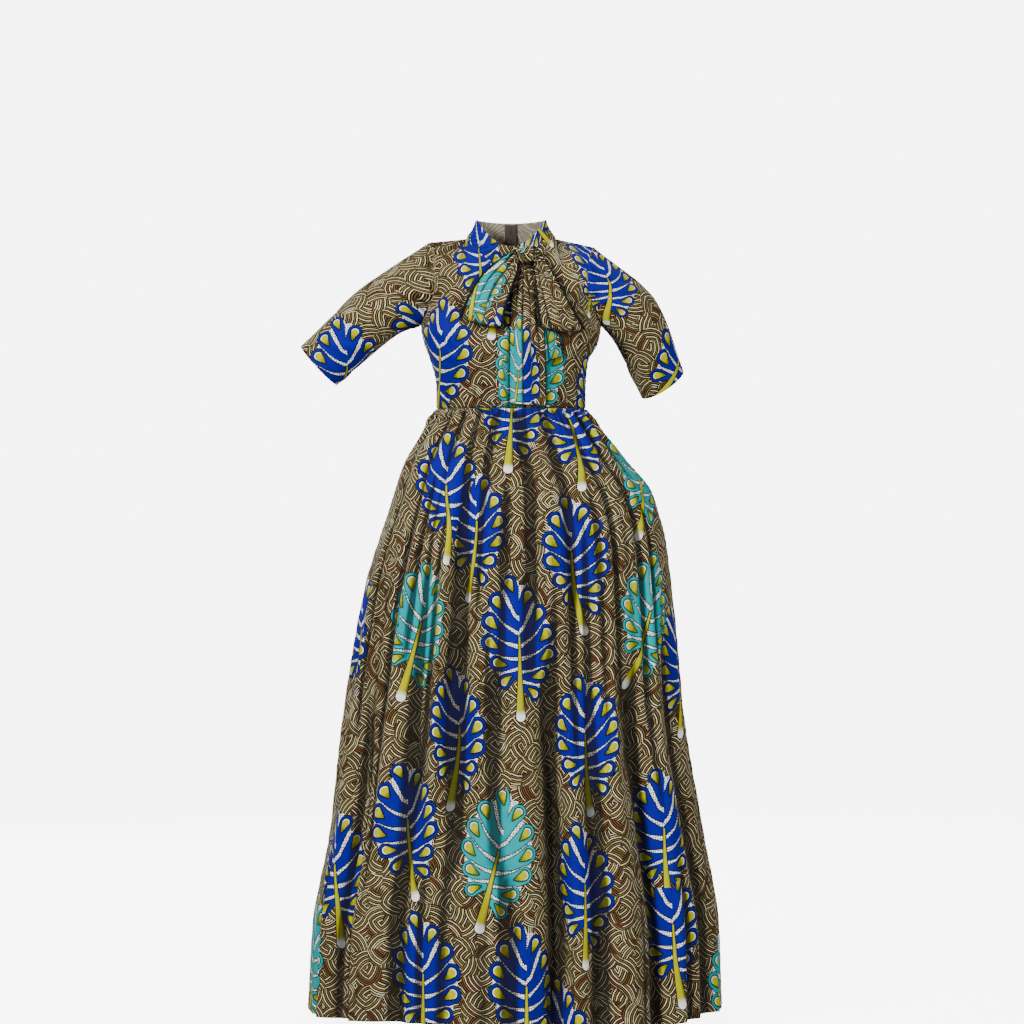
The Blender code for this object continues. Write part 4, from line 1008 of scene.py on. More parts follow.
# %% Short ways to write a shader's sums
class Wires:
    """Adds nodes to a tree, one for each sum, and joins them."""

    def __init__(self, tree):
        self.tree = tree

    def join(self, value, socket):
        if isinstance(value, bpy.types.NodeSocket):
            self.tree.links.new(value, socket)
        elif value is not None:
            socket.default_value = value

    def math(self, operation, *values):
        node = self.tree.nodes.new("ShaderNodeMath")
        node.operation = operation
        for value, socket in zip(values, node.inputs):
            self.join(value, socket)
        return node.outputs[0]

    # So add(a, b) stands for math("ADD", a, b), and the others likewise.
    add = partialmethod(math, "ADD")
    subtract = partialmethod(math, "SUBTRACT")
    times = partialmethod(math, "MULTIPLY")
    least = partialmethod(math, "MINIMUM")
    most = partialmethod(math, "MAXIMUM")
    times_add = partialmethod(math, "MULTIPLY_ADD")
    divide = partialmethod(math, "DIVIDE")
    sine = partialmethod(math, "SINE")
    below = partialmethod(math, "LESS_THAN")

    def hypot(self, a, b):
        total = self.add(self.times(a, a), self.times(b, b))
        return self.math("SQRT", total)

    def within(self, value, low, high):
        """The value kept between two limits."""
        return self.least(self.most(value, low), high)

    def about(self, value, reach):
        """A value from 0 to 1, turned into one that swings round zero."""
        return self.times(self.subtract(value, 0.5), reach)

    def again(self, value, turns):
        """Another random number from 0 to 1, made out of a first one."""
        return self.math("FRACT", self.times(value, turns))

    def step(self, value, low, high, start=0.0, end=1.0):
        """A soft step from start at low to end at high."""
        node = self.tree.nodes.new("ShaderNodeMapRange")
        node.interpolation_type = "SMOOTHSTEP"
        for name, given in (("Value", value), ("From Min", low), ("From Max", high),
                            ("To Min", start), ("To Max", end)):
            self.join(given, node.inputs[name])
        return node.outputs["Result"]

    def fall(self, value, low, high):
        """A soft step from 1 at low down to 0 at high."""
        return self.step(value, low, high, 1.0, 0.0)

    def mix(self, share, first, second):
        node = self.tree.nodes.new("ShaderNodeMix")
        node.data_type = "RGBA"
        self.join(share, node.inputs["Factor"])
        for value, name in ((first, "A"), (second, "B")):
            socket = next(s for s in node.inputs if s.name == name and s.type == "RGBA")
            self.join((*value, 1) if isinstance(value, tuple) else value, socket)
        return next(s for s in node.outputs if s.type == "RGBA")

    def split(self, vector):
        node = self.tree.nodes.new("ShaderNodeSeparateXYZ")
        self.join(vector, node.inputs[0])
        return node.outputs

    def combine(self, x, y, z=0.0):
        node = self.tree.nodes.new("ShaderNodeCombineXYZ")
        for value, socket in zip((x, y, z), node.inputs):
            self.join(value, socket)
        return node.outputs[0]

    def noise(self, vector, scale, detail=2.0):
        node = self.tree.nodes.new("ShaderNodeTexNoise")
        node.inputs["Scale"].default_value = scale
        node.inputs["Detail"].default_value = detail
        self.join(vector, node.inputs["Vector"])
        return node.outputs["Fac"]

    def cells(self, vector, scale, uneven, feature="F1"):
        node = self.tree.nodes.new("ShaderNodeTexVoronoi")
        node.voronoi_dimensions = "2D"
        node.feature = feature
        node.inputs["Scale"].default_value = scale
        node.inputs["Randomness"].default_value = uneven
        self.join(vector, node.inputs["Vector"])
        return node.outputs

    def chance(self, vector):
        """A random number that is the same wherever the vector is."""
        node = self.tree.nodes.new("ShaderNodeTexWhiteNoise")
        node.noise_dimensions = "3D"
        self.join(vector, node.inputs["Vector"])
        return node.outputs["Value"]

    def layer(self, name):
        """The place on one of the piece's UV maps."""
        node = self.tree.nodes.new("ShaderNodeUVMap")
        node.uv_map = name
        return node.outputs[0]

    def spot(self):
        """The place in the piece's own mesh."""
        return self.tree.nodes.new("ShaderNodeTexCoord").outputs["Object"]

    def relief(self, height, strength, deep, shader):
        """Let the light fall as if the surface rose and sank, deep in millimetres."""
        node = self.tree.nodes.new("ShaderNodeBump")
        node.inputs["Strength"].default_value = strength
        node.inputs["Distance"].default_value = deep * MM
        self.join(height, node.inputs["Height"])
        self.join(node.outputs[0], shader["Normal"])


def open_material(name, *looks):
    """A plain material to work on, with its wires and its shader's sockets."""
    made = plain_material(name, *looks)
    return made, Wires(made.node_tree), made.node_tree.nodes["Principled BSDF"].inputs


print("helpers:", [name for name in vars(Wires) if not name.startswith("_")])

# %% [markdown]
# ## One lobe of a leaf
#
# A lobe is a narrow root that swells to a round tip, like a drop. For any place on the
# cloth, a small node group works out how far outside the lobe's edge it lies, and how
# far outside the seed in the lobe's tip. Below zero is inside. The leaf uses the group
# once for each lobe of one side, because the other side mirrors it a step lower down.

# %% Lobes
ROOT_RADIUS = 7.5
LOBE_SWELL = 1.0
SEED_LENGTH, SEED_POINT = 18.0, 0.3  # from its point, of this radius, to the lobe's tip
SEED_SHARE, SEED_SWELL = 0.53, 0.8
LOBES = (  # root x, root y, tip x, tip y, tip radius, bend
    (1, 36, 19, 90, 13.5, -2.0),
    (1, 6, 43, 57, 15.0, 4.0),
    (2, -16, 55, 19, 16.0, 6.0),
    (3, -42, 56, -20, 16.0, 5.0),
    (4, -62, 43, -58, 14.5, 3.0),
    (5, -78, 31, -94, 12.5, -2.0),
)
SIDE_STEP = 12.0  # each side of a leaf is shifted this far, one up, one down


def lobe_group():
    """The node group for one lobe."""
    tree = bpy.data.node_groups.new("lobe", "ShaderNodeTree")
    for name in ("X", "Y", "Root X", "Root Y", "Angle", "Length", "Radius", "Bend"):
        tree.interface.new_socket(name, in_out="INPUT", socket_type="NodeSocketFloat")
    for name in ("Edge", "Seed edge", "Seed along", "Across"):
        tree.interface.new_socket(name, in_out="OUTPUT", socket_type="NodeSocketFloat")
    given = tree.nodes.new("NodeGroupInput").outputs
    result = tree.nodes.new("NodeGroupOutput").inputs
    length, w = given["Length"], Wires(tree)
    x, y = w.subtract(given["X"], given["Root X"]), w.subtract(given["Y"], given["Root Y"])
    sine, cosine = w.sine(given["Angle"]), w.math("COSINE", given["Angle"])
    along = w.add(w.times(x, sine), w.times(y, cosine))
    straight = w.subtract(w.times(x, cosine), w.times(y, sine))
    share = w.within(w.divide(along, length), 0.0, 1.0)
    bow = w.times(w.times(share, w.subtract(1.0, share)), 4.0)
    across = w.subtract(straight, w.times(bow, given["Bend"]))
    radius = w.times_add(w.math("POWER", share, LOBE_SWELL),
                    w.subtract(given["Radius"], ROOT_RADIUS), ROOT_RADIUS)
    beyond = w.subtract(along, w.times(share, length))
    w.join(w.subtract(w.hypot(beyond, across), radius), result["Edge"])
    start = w.subtract(length, SEED_LENGTH)
    held = w.most(w.least(along, length), start)
    seed_share = w.divide(w.subtract(held, start), SEED_LENGTH)
    radius = w.times_add(w.math("POWER", seed_share, SEED_SWELL),
                    w.times(given["Radius"], SEED_SHARE), SEED_POINT)
    beyond = w.subtract(along, held)
    w.join(w.subtract(w.hypot(beyond, across), radius), result["Seed edge"])
    w.join(w.divide(w.subtract(along, start), SEED_LENGTH), result["Seed along"])
    w.join(across, result["Across"])
    return tree


LOBE = lobe_group()
print("lobe group:", len(LOBE.nodes), "nodes")

# %% [markdown]
# ## Strokes and leaves together
#
# The strokes lie in cells of uneven shape. Each cell turns its bundle one way or the
# other, bends it and tapers its ends. The layers are then stacked as a printer lays
# them: ground, strokes, white dotted bands between the lobes, lobes, seeds and stem.

# %% Colours and sizes of the print
INK = (0.003, 0.003, 0.002)
CREAM = (0.86, 0.77, 0.46)
TAN = (0.22, 0.145, 0.035)
RUST = (0.20, 0.055, 0.02)
WHITE = (0.93, 0.93, 0.90)
YELLOW = (0.43, 0.42, 0.0)
AMBER = (0.17, 0.14, 0.0)
ROYAL_BLUE = (0.003, 0.003, 0.23)
NIGHT_BLUE = (0.001, 0.001, 0.05)
BRIGHT_TURQUOISE = (0.0, 0.31, 0.34)
DEEP_TURQUOISE = (0.0, 0.12, 0.13)
PALE_DYE = (0.33, 0.30, 0.25)  # what the wrong side of the cloth fades to
BUNDLE, BUNDLE_UNEVEN = 28.0, 0.7  # across one bundle of strokes
BUNDLE_GAP = 0.05  # the share of a bundle over which its strokes taper
FIRST_WAY, WAYS_APART, WAY_JITTER = -0.75, 1.6, 0.6  # a bundle's slant, in radians
STROKE_PITCH, STROKE_BEND, STROKE_WOBBLE = 4.0, 0.014, 1.4
STROKE_HALF, STROKE_MORE, STROKE_WORN = 0.135, 0.06, 0.14  # shares of the pitch
TAN_UP_TO, CREAM_FROM, PATCHES = 0.42, 0.60, 0.6
RUSTY_SHARE = 0.07
OUTLINE = 1.6  # ink line round lobes, seeds and stem
BAND_WIDTH = 11.5  # a gap between two lobes this narrow is a dotted band
BAND_TIP, BAND_SWELL, BAND_REACH = 3.6, 6.4, 48.0  # cut between lobes, wider at the stem
MIDDLE_REACH, MIDDLE_SHARE = 30.0, 0.4  # near the stem, wider gaps are bands too
TOP_GAP = 84.0  # the middle line counts as a lobe's edge up to here
DOT_PITCH, DOT_EDGE = 4.4, (0.26, 0.34)
RIB_PITCH, RIB = 1.15, 0.5  # ink lines along a seed
STEM_LENGTH, STEM_TIP = 146.0, 14.0  # the white tip at its foot is this long
STEM_TOP, STEM_FOOT, STEM_SWELL = 1.6, 9.2, 1.5
WEAVE = 0.55  # thread spacing
# Painted shade: the deepest fold's colour goes this far towards ink.
PAINTED_FOLD_SHADE = 0.85  # how dark the deepest fold is


# %% The strokes
def stroke_layer(w, cloth):
    """The ground: its colour, from the cloth's flat coordinates in metres."""
    scale = 1 / (BUNDLE * MM)
    place = w.cells(cloth, scale, BUNDLE_UNEVEN)["Position"]
    edge = w.cells(cloth, scale, BUNDLE_UNEVEN, "DISTANCE_TO_EDGE")["Distance"]
    x, y = (w.times(w.subtract(here, centre), 1000.0)
            for here, centre in zip(w.split(cloth)[:2], w.split(place)[:2]))
    toss = w.chance(place)
    over, up = (w.math("FLOOR", w.times(value, scale)) for value in w.split(place)[:2])
    way = w.math("FLOORED_MODULO", w.add(over, up), 2.0)
    jitter = w.about(w.again(toss, 7.3), WAY_JITTER)
    angle = w.add(w.times_add(way, WAYS_APART, FIRST_WAY), jitter)
    sine, cosine = w.sine(angle), w.math("COSINE", angle)
    along = w.add(w.times(x, cosine), w.times(y, sine))
    across = w.subtract(w.times(y, cosine), w.times(x, sine))
    curve = w.math("GREATER_THAN", w.again(toss, 31.7), 0.5)
    curve = w.times_add(curve, 2.0, -1.0)
    bend = w.times(w.times(along, along), w.times(curve, STROKE_BEND))
    wobble = w.about(w.noise(cloth, 90.0), STROKE_WOBBLE)
    line = w.divide(w.add(w.add(across, bend), wobble), STROKE_PITCH)
    line = w.add(line, w.times(toss, 9.0))
    number = w.math("FLOOR", line)
    middle = w.math("ABSOLUTE", w.subtract(w.math("FRACT", line), 0.5))
    pick = w.chance(w.combine(number, w.times(toss, 50.0)))
    taper = w.step(edge, -0.01, BUNDLE_GAP, 0.35, 1.0)
    width = w.times(w.add(w.times(pick, STROKE_MORE), STROKE_HALF), taper)
    width = w.add(width, w.about(w.noise(cloth, 420.0), STROKE_WORN))
    stroke = w.step(w.subtract(width, middle), -0.03, 0.05)
    every_other = w.math("FLOORED_MODULO", number, 2.0)
    light = w.times_add(every_other, 0.5, w.times(pick, 0.5))
    light = w.add(light, w.about(w.noise(cloth, 28.0), PATCHES))
    colour = w.mix(w.step(light, TAN_UP_TO, CREAM_FROM), TAN, CREAM)
    colour = w.mix(w.below(w.again(pick, 13.0), RUSTY_SHARE), colour, RUST)
    return w.mix(stroke, INK, colour)


# %% The leaves
def seed_marks(w, lobe):
    """The ink lines and dark point of a seed, and the white rim round its tip."""
    edge, along = lobe["Seed edge"], lobe["Seed along"]
    ribs = w.below(w.math("PINGPONG", w.add(lobe["Across"], 40.0), RIB_PITCH), RIB)
    ink = w.times(ribs, w.fall(along, 0.35, 0.75))
    ink = w.most(ink, w.step(along, 0.05, 0.50, 0.4, 0.0))
    rim = w.times(w.step(along, 0.85, 1.35), w.step(edge, -2.6, -1.0))
    return w.times(ink, w.below(edge, -0.2)), w.times(rim, w.fall(edge, -0.3, 0.1))


def leaf_layers(w, ground, leaf):
    """The leaf over the ground, from the place within the nearest leaf in metres."""
    x, y, _ = w.split(leaf)
    turquoise = w.math("GREATER_THAN", x, (BLUE + TURQUOISE) / 2)
    x = w.subtract(x, w.times_add(turquoise, TURQUOISE - BLUE, BLUE))
    x, y = w.times(x, 1000.0), w.times(y, 1000.0)
    folded = w.math("ABSOLUTE", x)
    shifted = w.times_add(w.math("SIGN", x), SIDE_STEP, y)
    nearest, second, seed, ink, rim = 99.0, 99.0, 99.0, 0.0, 0.0
    for root_x, root_y, tip_x, tip_y, radius, bend in LOBES:
        node = w.tree.nodes.new("ShaderNodeGroup")
        node.node_tree = LOBE
        values = {"X": folded, "Y": shifted, "Root X": float(root_x), "Root Y": float(root_y),
                  "Angle": math.atan2(tip_x - root_x, tip_y - root_y), "Radius": radius,
                  "Length": math.hypot(tip_x - root_x, tip_y - root_y), "Bend": bend}
        for name, value in values.items():
            w.join(value, node.inputs[name])
        lobe = node.outputs
        second = w.least(second, w.most(nearest, lobe["Edge"]))
        nearest, seed = w.least(nearest, lobe["Edge"]), w.least(seed, lobe["Seed edge"])
        more_ink, more_rim = seed_marks(w, lobe)
        ink, rim = w.most(ink, more_ink), w.most(rim, more_rim)
    cut = w.within(w.times_add(folded, -1 / BAND_REACH, 1.0), 0.0, 1.0)
    cut = w.times_add(cut, BAND_SWELL, BAND_TIP)
    cut = w.times(w.subtract(cut, w.subtract(second, nearest)), 0.5)
    top_gap = w.most(folded, w.most(w.subtract(y, TOP_GAP), w.subtract(0.0, y)))
    inner = w.times(w.most(w.subtract(MIDDLE_REACH, folded), 0.0), MIDDLE_SHARE)
    gap = w.subtract(w.add(nearest, w.least(second, top_gap)), inner)
    dots = w.cells(w.combine(x, y), 1 / DOT_PITCH, 0.35)["Distance"]
    dotted = w.mix(w.step(dots, *DOT_EDGE), INK, WHITE)
    nearest = w.most(nearest, cut)
    shade = w.step(seed, 1.6, 4.2)
    blade = w.mix(turquoise, w.mix(shade, NIGHT_BLUE, ROYAL_BLUE),
                  w.mix(shade, DEEP_TURQUOISE, BRIGHT_TURQUOISE))
    down = w.within(w.times(y, -1 / STEM_LENGTH), 0.0, 1.0)
    radius = w.times_add(w.math("POWER", down, STEM_SWELL),
                    STEM_FOOT - STEM_TOP, STEM_TOP)
    stem = w.subtract(w.hypot(x, w.add(y, w.times(down, STEM_LENGTH))), radius)
    tip = w.fall(y, -(STEM_LENGTH + 1), STEM_TIP - STEM_LENGTH)
    stem_dye = w.mix(tip, w.mix(w.step(x, 1.0, 7.0), YELLOW, AMBER), WHITE)
    colour = ground
    for share, dye in (
            (w.fall(gap, BAND_WIDTH - 0.6, BAND_WIDTH + 0.6), dotted),
            (w.fall(nearest, OUTLINE * 0.7, OUTLINE * 1.2), INK),
            (w.fall(nearest, -0.5, 0.1), blade), (w.fall(seed, 1.5, 2.2), INK),
            (w.fall(seed, -0.3, 0.1), YELLOW), (rim, WHITE), (ink, INK),
            (w.fall(stem, OUTLINE * 0.8, OUTLINE * 1.3), INK),
            (w.fall(stem, -0.3, 0.1), stem_dye)):
        colour = w.mix(share, colour, dye)
    return colour


# %% The printed cotton
def printed_cotton(name, paler):
    """The cloth's printed side, or its wrong side with paler dye, and painted shade in folds."""
    made, w, shader = open_material(name, (0.8, 0.8, 0.8), 0.5)
    cloth = w.layer("cloth")
    colour = leaf_layers(w, stroke_layer(w, cloth), w.layer("leaf"))
    mottle = w.noise(cloth, 60.0, 5.0)
    colour = w.mix(w.step(mottle, 0.35, 0.75, 0.0, 0.10), colour, INK)
    # Painted shade: the colour goes towards ink where the fold attribute is high, in deep folds
    # and beside the bow.
    fold = w.tree.nodes.new("ShaderNodeAttribute")
    fold.attribute_name = "fold"
    colour = w.mix(w.times(fold.outputs["Fac"], PAINTED_FOLD_SHADE), colour, INK)
    if paler:
        colour = w.mix(paler, colour, PALE_DYE)
    w.join(colour, shader["Base Color"])
    x, y, _ = w.split(cloth)
    turn = 2 * math.pi / (WEAVE * MM)
    threads = w.add(w.sine(w.times(x, turn)), w.sine(w.times(y, turn)))
    w.relief(w.add(threads, w.times(w.noise(cloth, 900.0), 2.0)), 0.25, 0.12, shader)
    w.join(w.step(mottle, 0.2, 0.8, 0.66, 0.80), shader["Roughness"])
    w.join(0.04, shader["Sheen Weight"])
    w.join(0.5, shader["Sheen Roughness"])
    w.join(0.09, shader["Specular IOR Level"])
    return made


def edge_thread_and_painted_shadow():
    """Dark thread binding the bow's edges in slanting turns, also painted shadow at the rims."""
    made, w, shader = open_material("edge_thread_and_painted_shadow", (0.004, 0.004, 0.004), 0.9)
    x, y, _ = w.split(w.layer("cloth"))
    turns = w.sine(w.times(w.add(x, y), 2 * math.pi / (0.8 * MM)))
    w.join(w.mix(w.step(turns, -0.2, 0.9), (0.003, 0.003, 0.003), (0.016, 0.013, 0.011)),
           shader["Base Color"])
    w.join(0.1, shader["Specular IOR Level"])
    return made


PRINT = printed_cotton("wax_print", 0.0)
# The third material is the edge thread, which also paints shadow along the bow's rims.
CLOTH_SIDES = (PRINT, printed_cotton("wax_print_inside", 0.5), edge_thread_and_painted_shadow())
print("printed side:", len(PRINT.node_tree.nodes), "nodes")

# %% [markdown]
# ## The leaves' places
#
# Each leaf stands where the picture shows one. A row gives one place of it as the
# camera sees it, in millimetres across and up from the frame's origin, and which place
# of the leaf that is: its stem's top, its foot or a lobe's tip, for a leaf that a seam
# or the dress's side cuts off. The back isn't in the picture, so its leaves follow the
# same rhythm: upright blue ones in rows set off by half a step, with a leaning
# turquoise one now and then.

# %% The leaves' places
TOP, FOOT = (0, 0), (0, -150)
LEFT_TIP, RIGHT_TIP, CROWN = (-70, 0), (70, -12), (-21, 91)
LOBE_TIP, LOWER_TIP = (55, 7), (56, -32)
# Seen x, seen z, then place in the leaf, tilt, colour and size, each of which may be
# left out from the end: most leaves are given by their stem's top, upright, blue and
# full size.
PLAIN_LEAF = (TOP, 0, BLUE, 1.0)
LEAVES = {
    "bodice_front": (
        (-135, -211), (-61, -17, TOP, -3, BLUE, (0.8, 0.95)),
        (184, -74, TOP, 3, BLUE, (0.66, 0.85)), (15, -251, TOP, 8, TURQUOISE, (0.58, 0.95)),
        (-38, -186, FOOT, 10, BLUE, 0.9), (125, -300, LEFT_TIP),
        (89, -262, LOWER_TIP, 4, TURQUOISE, 0.95), (78, -12, FOOT, -29, BLUE, 0.7),
    ),
    "collar": ((-61, -17, TOP, 8, BLUE, (0.8, 1.0)), (78, -12, FOOT, -29, BLUE, 0.7)),
    "sleeve_left": (
        (-135, -211), (-311, -242, TOP, 6, BLUE, 0.95), (-408, -200, RIGHT_TIP, 0, TURQUOISE),
    ),
    "sleeve_right": (
        (184, -74, TOP, -16, BLUE, (0.7, 0.8)), (318, -214, TOP, -3),
        (182, -250, RIGHT_TIP, 0, BLUE, 0.9),
    ),
    "bow_tail_left": (
        (15, -251, TOP, 8, TURQUOISE, (0.6, 0.95)), (46, -247, LOBE_TIP, 0, BLUE, (0.66, 0.95)),
    ),
    "bow_tail_right": ((89, -262, LOWER_TIP, 4, TURQUOISE, 0.95),),
    "bow_knot": ((10, -14, LOBE_TIP, 50, TURQUOISE, 0.6),),
    "bow_loop_left": (
        (-61, -73, TOP, 20, TURQUOISE, (0.9, 0.75)), (-22, -142, CROWN, 0, BLUE, 0.8),
    ),
    "skirt_front": (
        (-6, -439, FOOT, 4), (135, -473, FOOT, 2), (-123, -467, TOP, 1), (-65, -535),
        (115, -595, TOP, -1), (16, -755, TOP, -1), (-171, -728, TOP, 14, TURQUOISE),
        (265, -708, TOP, 14, TURQUOISE), (240, -567, FOOT, 15, TURQUOISE), (323, -942, FOOT),
        (-275, -760, RIGHT_TIP), (-98, -926), (141, -940, TOP, -1), (-196, -1102, TOP, -1),
        (-335, -1188), (-23, -1162, TOP, 14, TURQUOISE), (291, -1119, TOP, -1),
        (141, -1226, TOP, -1), (308, -1302, TOP, -3), (-167, -1396), (30, -1420),
        (87, -1425, CROWN), (-362, -1392, RIGHT_TIP, 10, TURQUOISE),
        (378, -1396, LEFT_TIP, 10, TURQUOISE),
    ),
    "skirt_back_left": (
        (-60, -430), (-150, -600), (-40, -700, TOP, -13, TURQUOISE), (-240, -760), (-120, -880),
        (-300, -960, TOP, -14, TURQUOISE), (-25, -1010), (-200, -1090), (-90, -1210),
        (-310, -1220), (-190, -1390, TOP, -13, TURQUOISE), (-20, -1380),
    ),
    "skirt_back_right": (
        (100, -450), (60, -590), (200, -640, TOP, 14, TURQUOISE), (80, -830), (250, -880),
        (150, -1020), (310, -1090), (60, -1170, TOP, 14, TURQUOISE), (200, -1250),
        (340, -1330, TOP, 14, TURQUOISE), (110, -1400),
    ),
    "bodice_back_left": (
        (-90, -70), (-60, -250, TOP, -12, TURQUOISE), (-140, -290, RIGHT_TIP),
    ),
    "bodice_back_right": ((70, -130), (130, -290)),
}


def leaf_places(piece):
    """A panel's leaves, each with its colour, size, middle and upward way on the cut."""
    face = BACK if "back" in piece["node"] else FRONT
    made = []
    for row in LEAVES.get(piece["node"], ()):
        x, z, (leaf_x, leaf_y), tilt, colour, size = row + PLAIN_LEAF[len(row) - 2:]
        place, way = leaf_frame(piece, x, z, face, tilt)
        side = np.array([way[1], -way[0]])
        wide, tall = (size, size) if isinstance(size, float) else size
        place = place - side * leaf_x * wide - way * leaf_y * tall
        made.append((colour, np.array((wide, tall)), place, way))
    return made


print("leaves:", sum(len(rows) for rows in LEAVES.values()))

# %% [markdown]
# ## The creases of the bodice and sleeves
# The skirt is cut wide and gathered into the waist seam. Below, the spare cloth hangs
# in long folds of uneven depth that start at different heights. The gathers are a wave
# round the waist that fades downwards, and each long fold is a soft trough with a low
# ridge at its sides, placed one by one. A cloth simulation would find folds of its own,
# which couldn't match the picture's.
# sleeve folds below the armhole and at half its length. Each crease is a soft trough
# between two places on the cut piece, chosen by hand, because a simulation of so tight
# a fit mostly shows noise.

# %% Creases
# From u and v to u and v on the cut piece, depth, half width. On a bodice panel u runs
# from its middle column and v is level with height.
CREASES = {
    "bodice_front": (
        (-170, -175, -95, -215, 2.2, 7), (-165, -200, -80, -262, 2.0, 8),
        (168, -180, 100, -222, 2.4, 7), (166, -205, 90, -270, 1.8, 8),
        (-120, -318, -95, -255, 1.8, 7), (-60, -320, -48, -270, 1.3, 6),
        (92, -318, 80, -262, 1.6, 7), (126, -316, 128, -240, 1.7, 8),
        (-128, -70, -112, -140, 1.8, 8), (126, -80, 112, -146, 1.8, 8),
        (-150, -258, -178, -312, 1.8, 7), (-88, -150, -60, -100, 1.2, 9),
    ),
    "bodice_back_left": (
        (60, -165, -20, -205, 2.2, 8), (58, -200, -30, -258, 1.8, 8),
        (-40, -318, -28, -240, 1.8, 8), (20, -318, 14, -255, 1.6, 8),
    ),
    "bodice_back_right": (
        (-62, -168, 20, -210, 2.2, 8), (-58, -206, 26, -262, 1.8, 8),
        (30, -318, 22, -244, 1.8, 8), (-24, -318, -12, -262, 1.6, 8),
    ),
}
# From and to in turns round the sleeve and shares of its length, depth, half width.
# Half a turn is the middle of its front.
SLEEVE_CREASES = {
    LEFT: (
        (0.30, 0.05, 0.52, 0.42, 3.4, 9), (0.38, 0.02, 0.62, 0.30, 2.8, 8),
        (0.18, 0.10, 0.40, 0.62, 2.6, 10), (0.55, 0.55, 0.80, 0.92, 2.2, 10),
        (0.68, 0.06, 0.85, 0.50, 2.6, 10), (0.30, 0.70, 0.55, 0.97, 2.0, 9),
        (0.90, 0.30, 1.0, 0.86, 2.2, 11),
    ),
    RIGHT: (
        (0.70, 0.04, 0.48, 0.40, 3.4, 9), (0.62, 0.02, 0.38, 0.28, 2.8, 8),
        (0.82, 0.12, 0.60, 0.62, 2.6, 10), (0.45, 0.52, 0.22, 0.92, 2.2, 10),
        (0.32, 0.08, 0.15, 0.50, 2.6, 10), (0.70, 0.68, 0.46, 0.97, 2.0, 9),
        (0.06, 0.30, 0.0, 0.86, 2.2, 11),
    ),
}


def sleeve_creases(piece, side):
    """A sleeve's creases, in millimetres on its cut."""
    u, v = piece["u"], piece["v"]
    turn, length = u[0, -1] - u[0, 0], v[-1, 0] - v[0, 0]
    return [(u[0, 0] + u0 * turn, v[0, 0] + v0 * length, u[0, 0] + u1 * turn,
             v[0, 0] + v1 * length, depth, width)
            for u0, v0, u1, v1, depth, width in SLEEVE_CREASES[side]]


print("creases:", sum(len(rows) for rows in CREASES.values()), "on the bodice")

# %% [markdown]
# ## Bodice, collar, sleeves and skirt
#
# Now the cut pieces themselves. Each one gets its form, its flat coordinates, its
# creases and its seams, and is then made as a wall of cloth that takes the place of the
# plain solid.

# %% The panels
front, back_left, back_right = bodice = [
    panel(node, grid, "bottom top first last") for node, grid in (
        ("bodice_front", front_grid), ("bodice_back_left", back_left_grid),
        ("bodice_back_right", back_right_grid))]
collar = panel("collar", collar_grid(neck_ring, COLLAR_ROWS), "bottom first last", group="collar")
sleeve_left = panel("sleeve_left", sleeve_grid(LEFT, hole_left), "bottom", True, "sleeve")
sleeve_right = panel("sleeve_right", sleeve_grid(RIGHT, hole_right), "bottom", True, "sleeve")
skirt_front, skirt_left, skirt_right = skirt = [
    panel(node, grid, "top first last") for node, grid in (
        ("skirt_front", skirt_front_grid), ("skirt_back_left", skirt_left_grid),
        ("skirt_back_right", skirt_right_grid))]
sleeves = [sleeve_left, sleeve_right]

set_normals([*bodice, collar, *sleeves])
set_normals(skirt)
for side, face, piece in ((LEFT, FRONT, skirt_front), (RIGHT, FRONT, skirt_front),
                          (LEFT, BACK, skirt_left), (RIGHT, BACK, skirt_right)):
    open_slit(piece["points"], side, face, depths)
for piece in bodice:
    lay_flat(piece, level=-200.0)
for piece in (collar, *skirt):
    lay_flat(piece)
for piece in sleeves:
    lay_flat(piece, cuff=True)
print("panels:", len(bodice) + len(sleeves) + len(skirt) + 1)

# %% Their seams, creases and hems
for piece in bodice:
    press(piece, CREASES[piece["node"]])
press(collar)
for side, piece in ((LEFT, sleeve_left), (RIGHT, sleeve_right)):
    press(piece, sleeve_creases(piece, side), hem="top")
for piece in skirt:
    press(piece, hem="bottom")
print("pressed; a seam dips", SEAM_DIP, "mm")

# %% The cloth of the panels
PRINT_SHIFT = {"bodice_back_left": (310, 40), "bodice_back_right": (-270, 95),
               "collar": (55, 330), "sleeve_left": (-620, 210), "sleeve_right": (640, 150),
               "skirt_front": (0, 900), "skirt_back_left": (-900, 870),
               "skirt_back_right": (910, 980)}
cloth_area = 0.0
for piece in [*bodice, collar, *sleeves, *skirt]:
    node = piece["node"]
    thing = cloth_piece(piece, CLOTH_SIDES, leaf_places(piece),
                        shift=PRINT_SHIFT.get(node, (0, 0)))
    held = "gathered" if "skirt" in node else "hung"
    cloth_area += declare_sheet(thing, piece)
print("cloth in the panels:", round(cloth_area, 2), "square metres")

# %% [markdown]
# ## Where the bow lies
#
# The bow is tied from two ends of the collar's band, and its tails and loops lie on the
# bodice. Rays shot from the front onto the plain panels say how deep the cloth lies at
# each place. A tail made flat would cut through the bodice.

